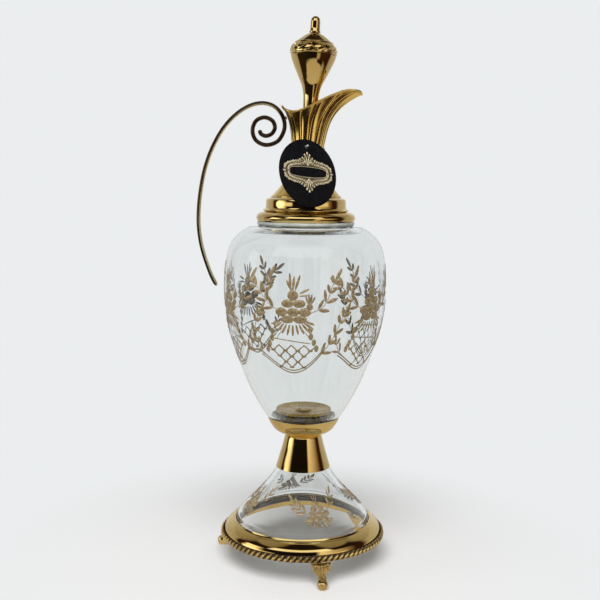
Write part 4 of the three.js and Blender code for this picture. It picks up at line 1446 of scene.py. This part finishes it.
def addRoom():
    world = bpy.data.worlds.new("pale room")
    world.use_nodes = True
    bpy.context.scene.world = world
    nodes = world.node_tree.nodes
    links = world.node_tree.links
    nodes.clear()
    way = nodes.new("ShaderNodeTexCoord")
    way.label = "way out into the room"
    parts = nodes.new("ShaderNodeSeparateXYZ")
    parts.label = "its three parts"
    front = nodes.new("ShaderNodeMath")
    front.label = "towards the front"
    front.operation = "MULTIPLY"
    front.inputs[1].default_value = -1
    bearing = nodes.new("ShaderNodeMath")
    bearing.label = "bearing from the front"
    bearing.operation = "ARCTAN2"
    turned = nodes.new("ShaderNodeMapRange")
    turned.label = "bearing from 0 to 1"
    turned.inputs["From Min"].default_value = -math.pi
    turned.inputs["From Max"].default_value = math.pi
    rise = nodes.new("ShaderNodeMath")
    rise.label = "angle above the horizon"
    rise.operation = "ARCSINE"
    column = (way, parts, front, bearing, turned, rise)
    for i, node in enumerate(column):
        node.location = (-1600 + 200 * i, 300)
    links.new(way.outputs["Generated"], parts.inputs["Vector"])
    links.new(parts.outputs["Y"], front.inputs[0])
    links.new(parts.outputs["X"], bearing.inputs[0])
    links.new(front.outputs["Value"], bearing.inputs[1])
    links.new(bearing.outputs["Value"], turned.inputs["Value"])
    links.new(parts.outputs["Z"], rise.inputs[0])
    below = None
    for i, (height, tones) in enumerate(roomLevels):
        around = nodes.new("ShaderNodeValToRGB")
        around.label = f"tones from {height} degrees"
        around.location = (-500 + 260 * i, -100 - 260 * i)
        elements = around.color_ramp.elements
        for j, (degrees, tone) in enumerate(tones):
            position = (degrees + 180) / 360
            stop = elements[0] if j == 0 else elements[-1] if j == len(tones) - 1 else elements.new(position)
            stop.position = position
            stop.color = (*tone, 1)
        links.new(turned.outputs["Result"], around.inputs["Fac"])
        if below is None:
            below = around.outputs["Color"]
            continue
        reach = nodes.new("ShaderNodeMapRange")
        reach.label = f"above {height} degrees"
        reach.inputs["From Min"].default_value = math.radians(height - levelBlend / 2)
        reach.inputs["From Max"].default_value = math.radians(height + levelBlend / 2)
        reach.location = (-500 + 260 * i, 250)
        stacked = nodes.new("ShaderNodeMix")
        stacked.label = "one level over the last"
        stacked.data_type = "RGBA"
        stacked.location = (-300 + 260 * i, 50)
        links.new(rise.outputs["Value"], reach.inputs["Value"])
        links.new(reach.outputs["Result"], stacked.inputs["Factor"])
        links.new(below, stacked.inputs["A"])
        links.new(around.outputs["Color"], stacked.inputs["B"])
        below = stacked.outputs["Result"]
    seen = nodes.new("ShaderNodeLightPath")
    seen.label = "seen straight on or mirrored"
    clear = nodes.new("ShaderNodeMath")
    clear.label = "straight on or through glass"
    clear.operation = "MAXIMUM"
    shown = nodes.new("ShaderNodeMix")
    shown.label = "plain backdrop straight on"
    shown.data_type = "RGBA"
    shown.inputs["B"].default_value = (*studioSize["backdrop"], 1)
    background = nodes.new("ShaderNodeBackground")
    background.label = "room"
    output = nodes.new("ShaderNodeOutputWorld")
    output.label = "world"
    for i, node in enumerate((seen, clear, shown, background, output)):
        node.location = (1200 + 220 * i, 0)
    links.new(seen.outputs["Is Camera Ray"], clear.inputs[0])
    links.new(seen.outputs["Is Transmission Ray"], clear.inputs[1])
    links.new(clear.outputs["Value"], shown.inputs["Factor"])
    links.new(below, shown.inputs["A"])
    links.new(shown.outputs["Result"], background.inputs["Color"])
    links.new(background.outputs["Background"], output.inputs["Surface"])


def addSoftbox(size):
    data = bpy.data.lights.new("softbox", "AREA")
    data.shape = "RECTANGLE"
    data.size = size["softboxWide"]
    data.size_y = size["softboxWide"]
    data.energy = size["softboxPower"]
    softbox = bpy.data.objects.new("softbox", data)
    bpy.context.scene.collection.objects.link(softbox)
    softbox.visible_glossy = False
    softbox.visible_transmission = False
    place = Vector(size["softboxPlace"])
    softbox.matrix_world = Matrix.Translation(place) @ place.to_track_quat("Z", "Y").to_matrix().to_4x4()


addFloor(studioSize)
addRoom()
addSoftbox(studioSize)
bpy.context.scene.view_settings.view_transform = "Standard"
print("studio made")
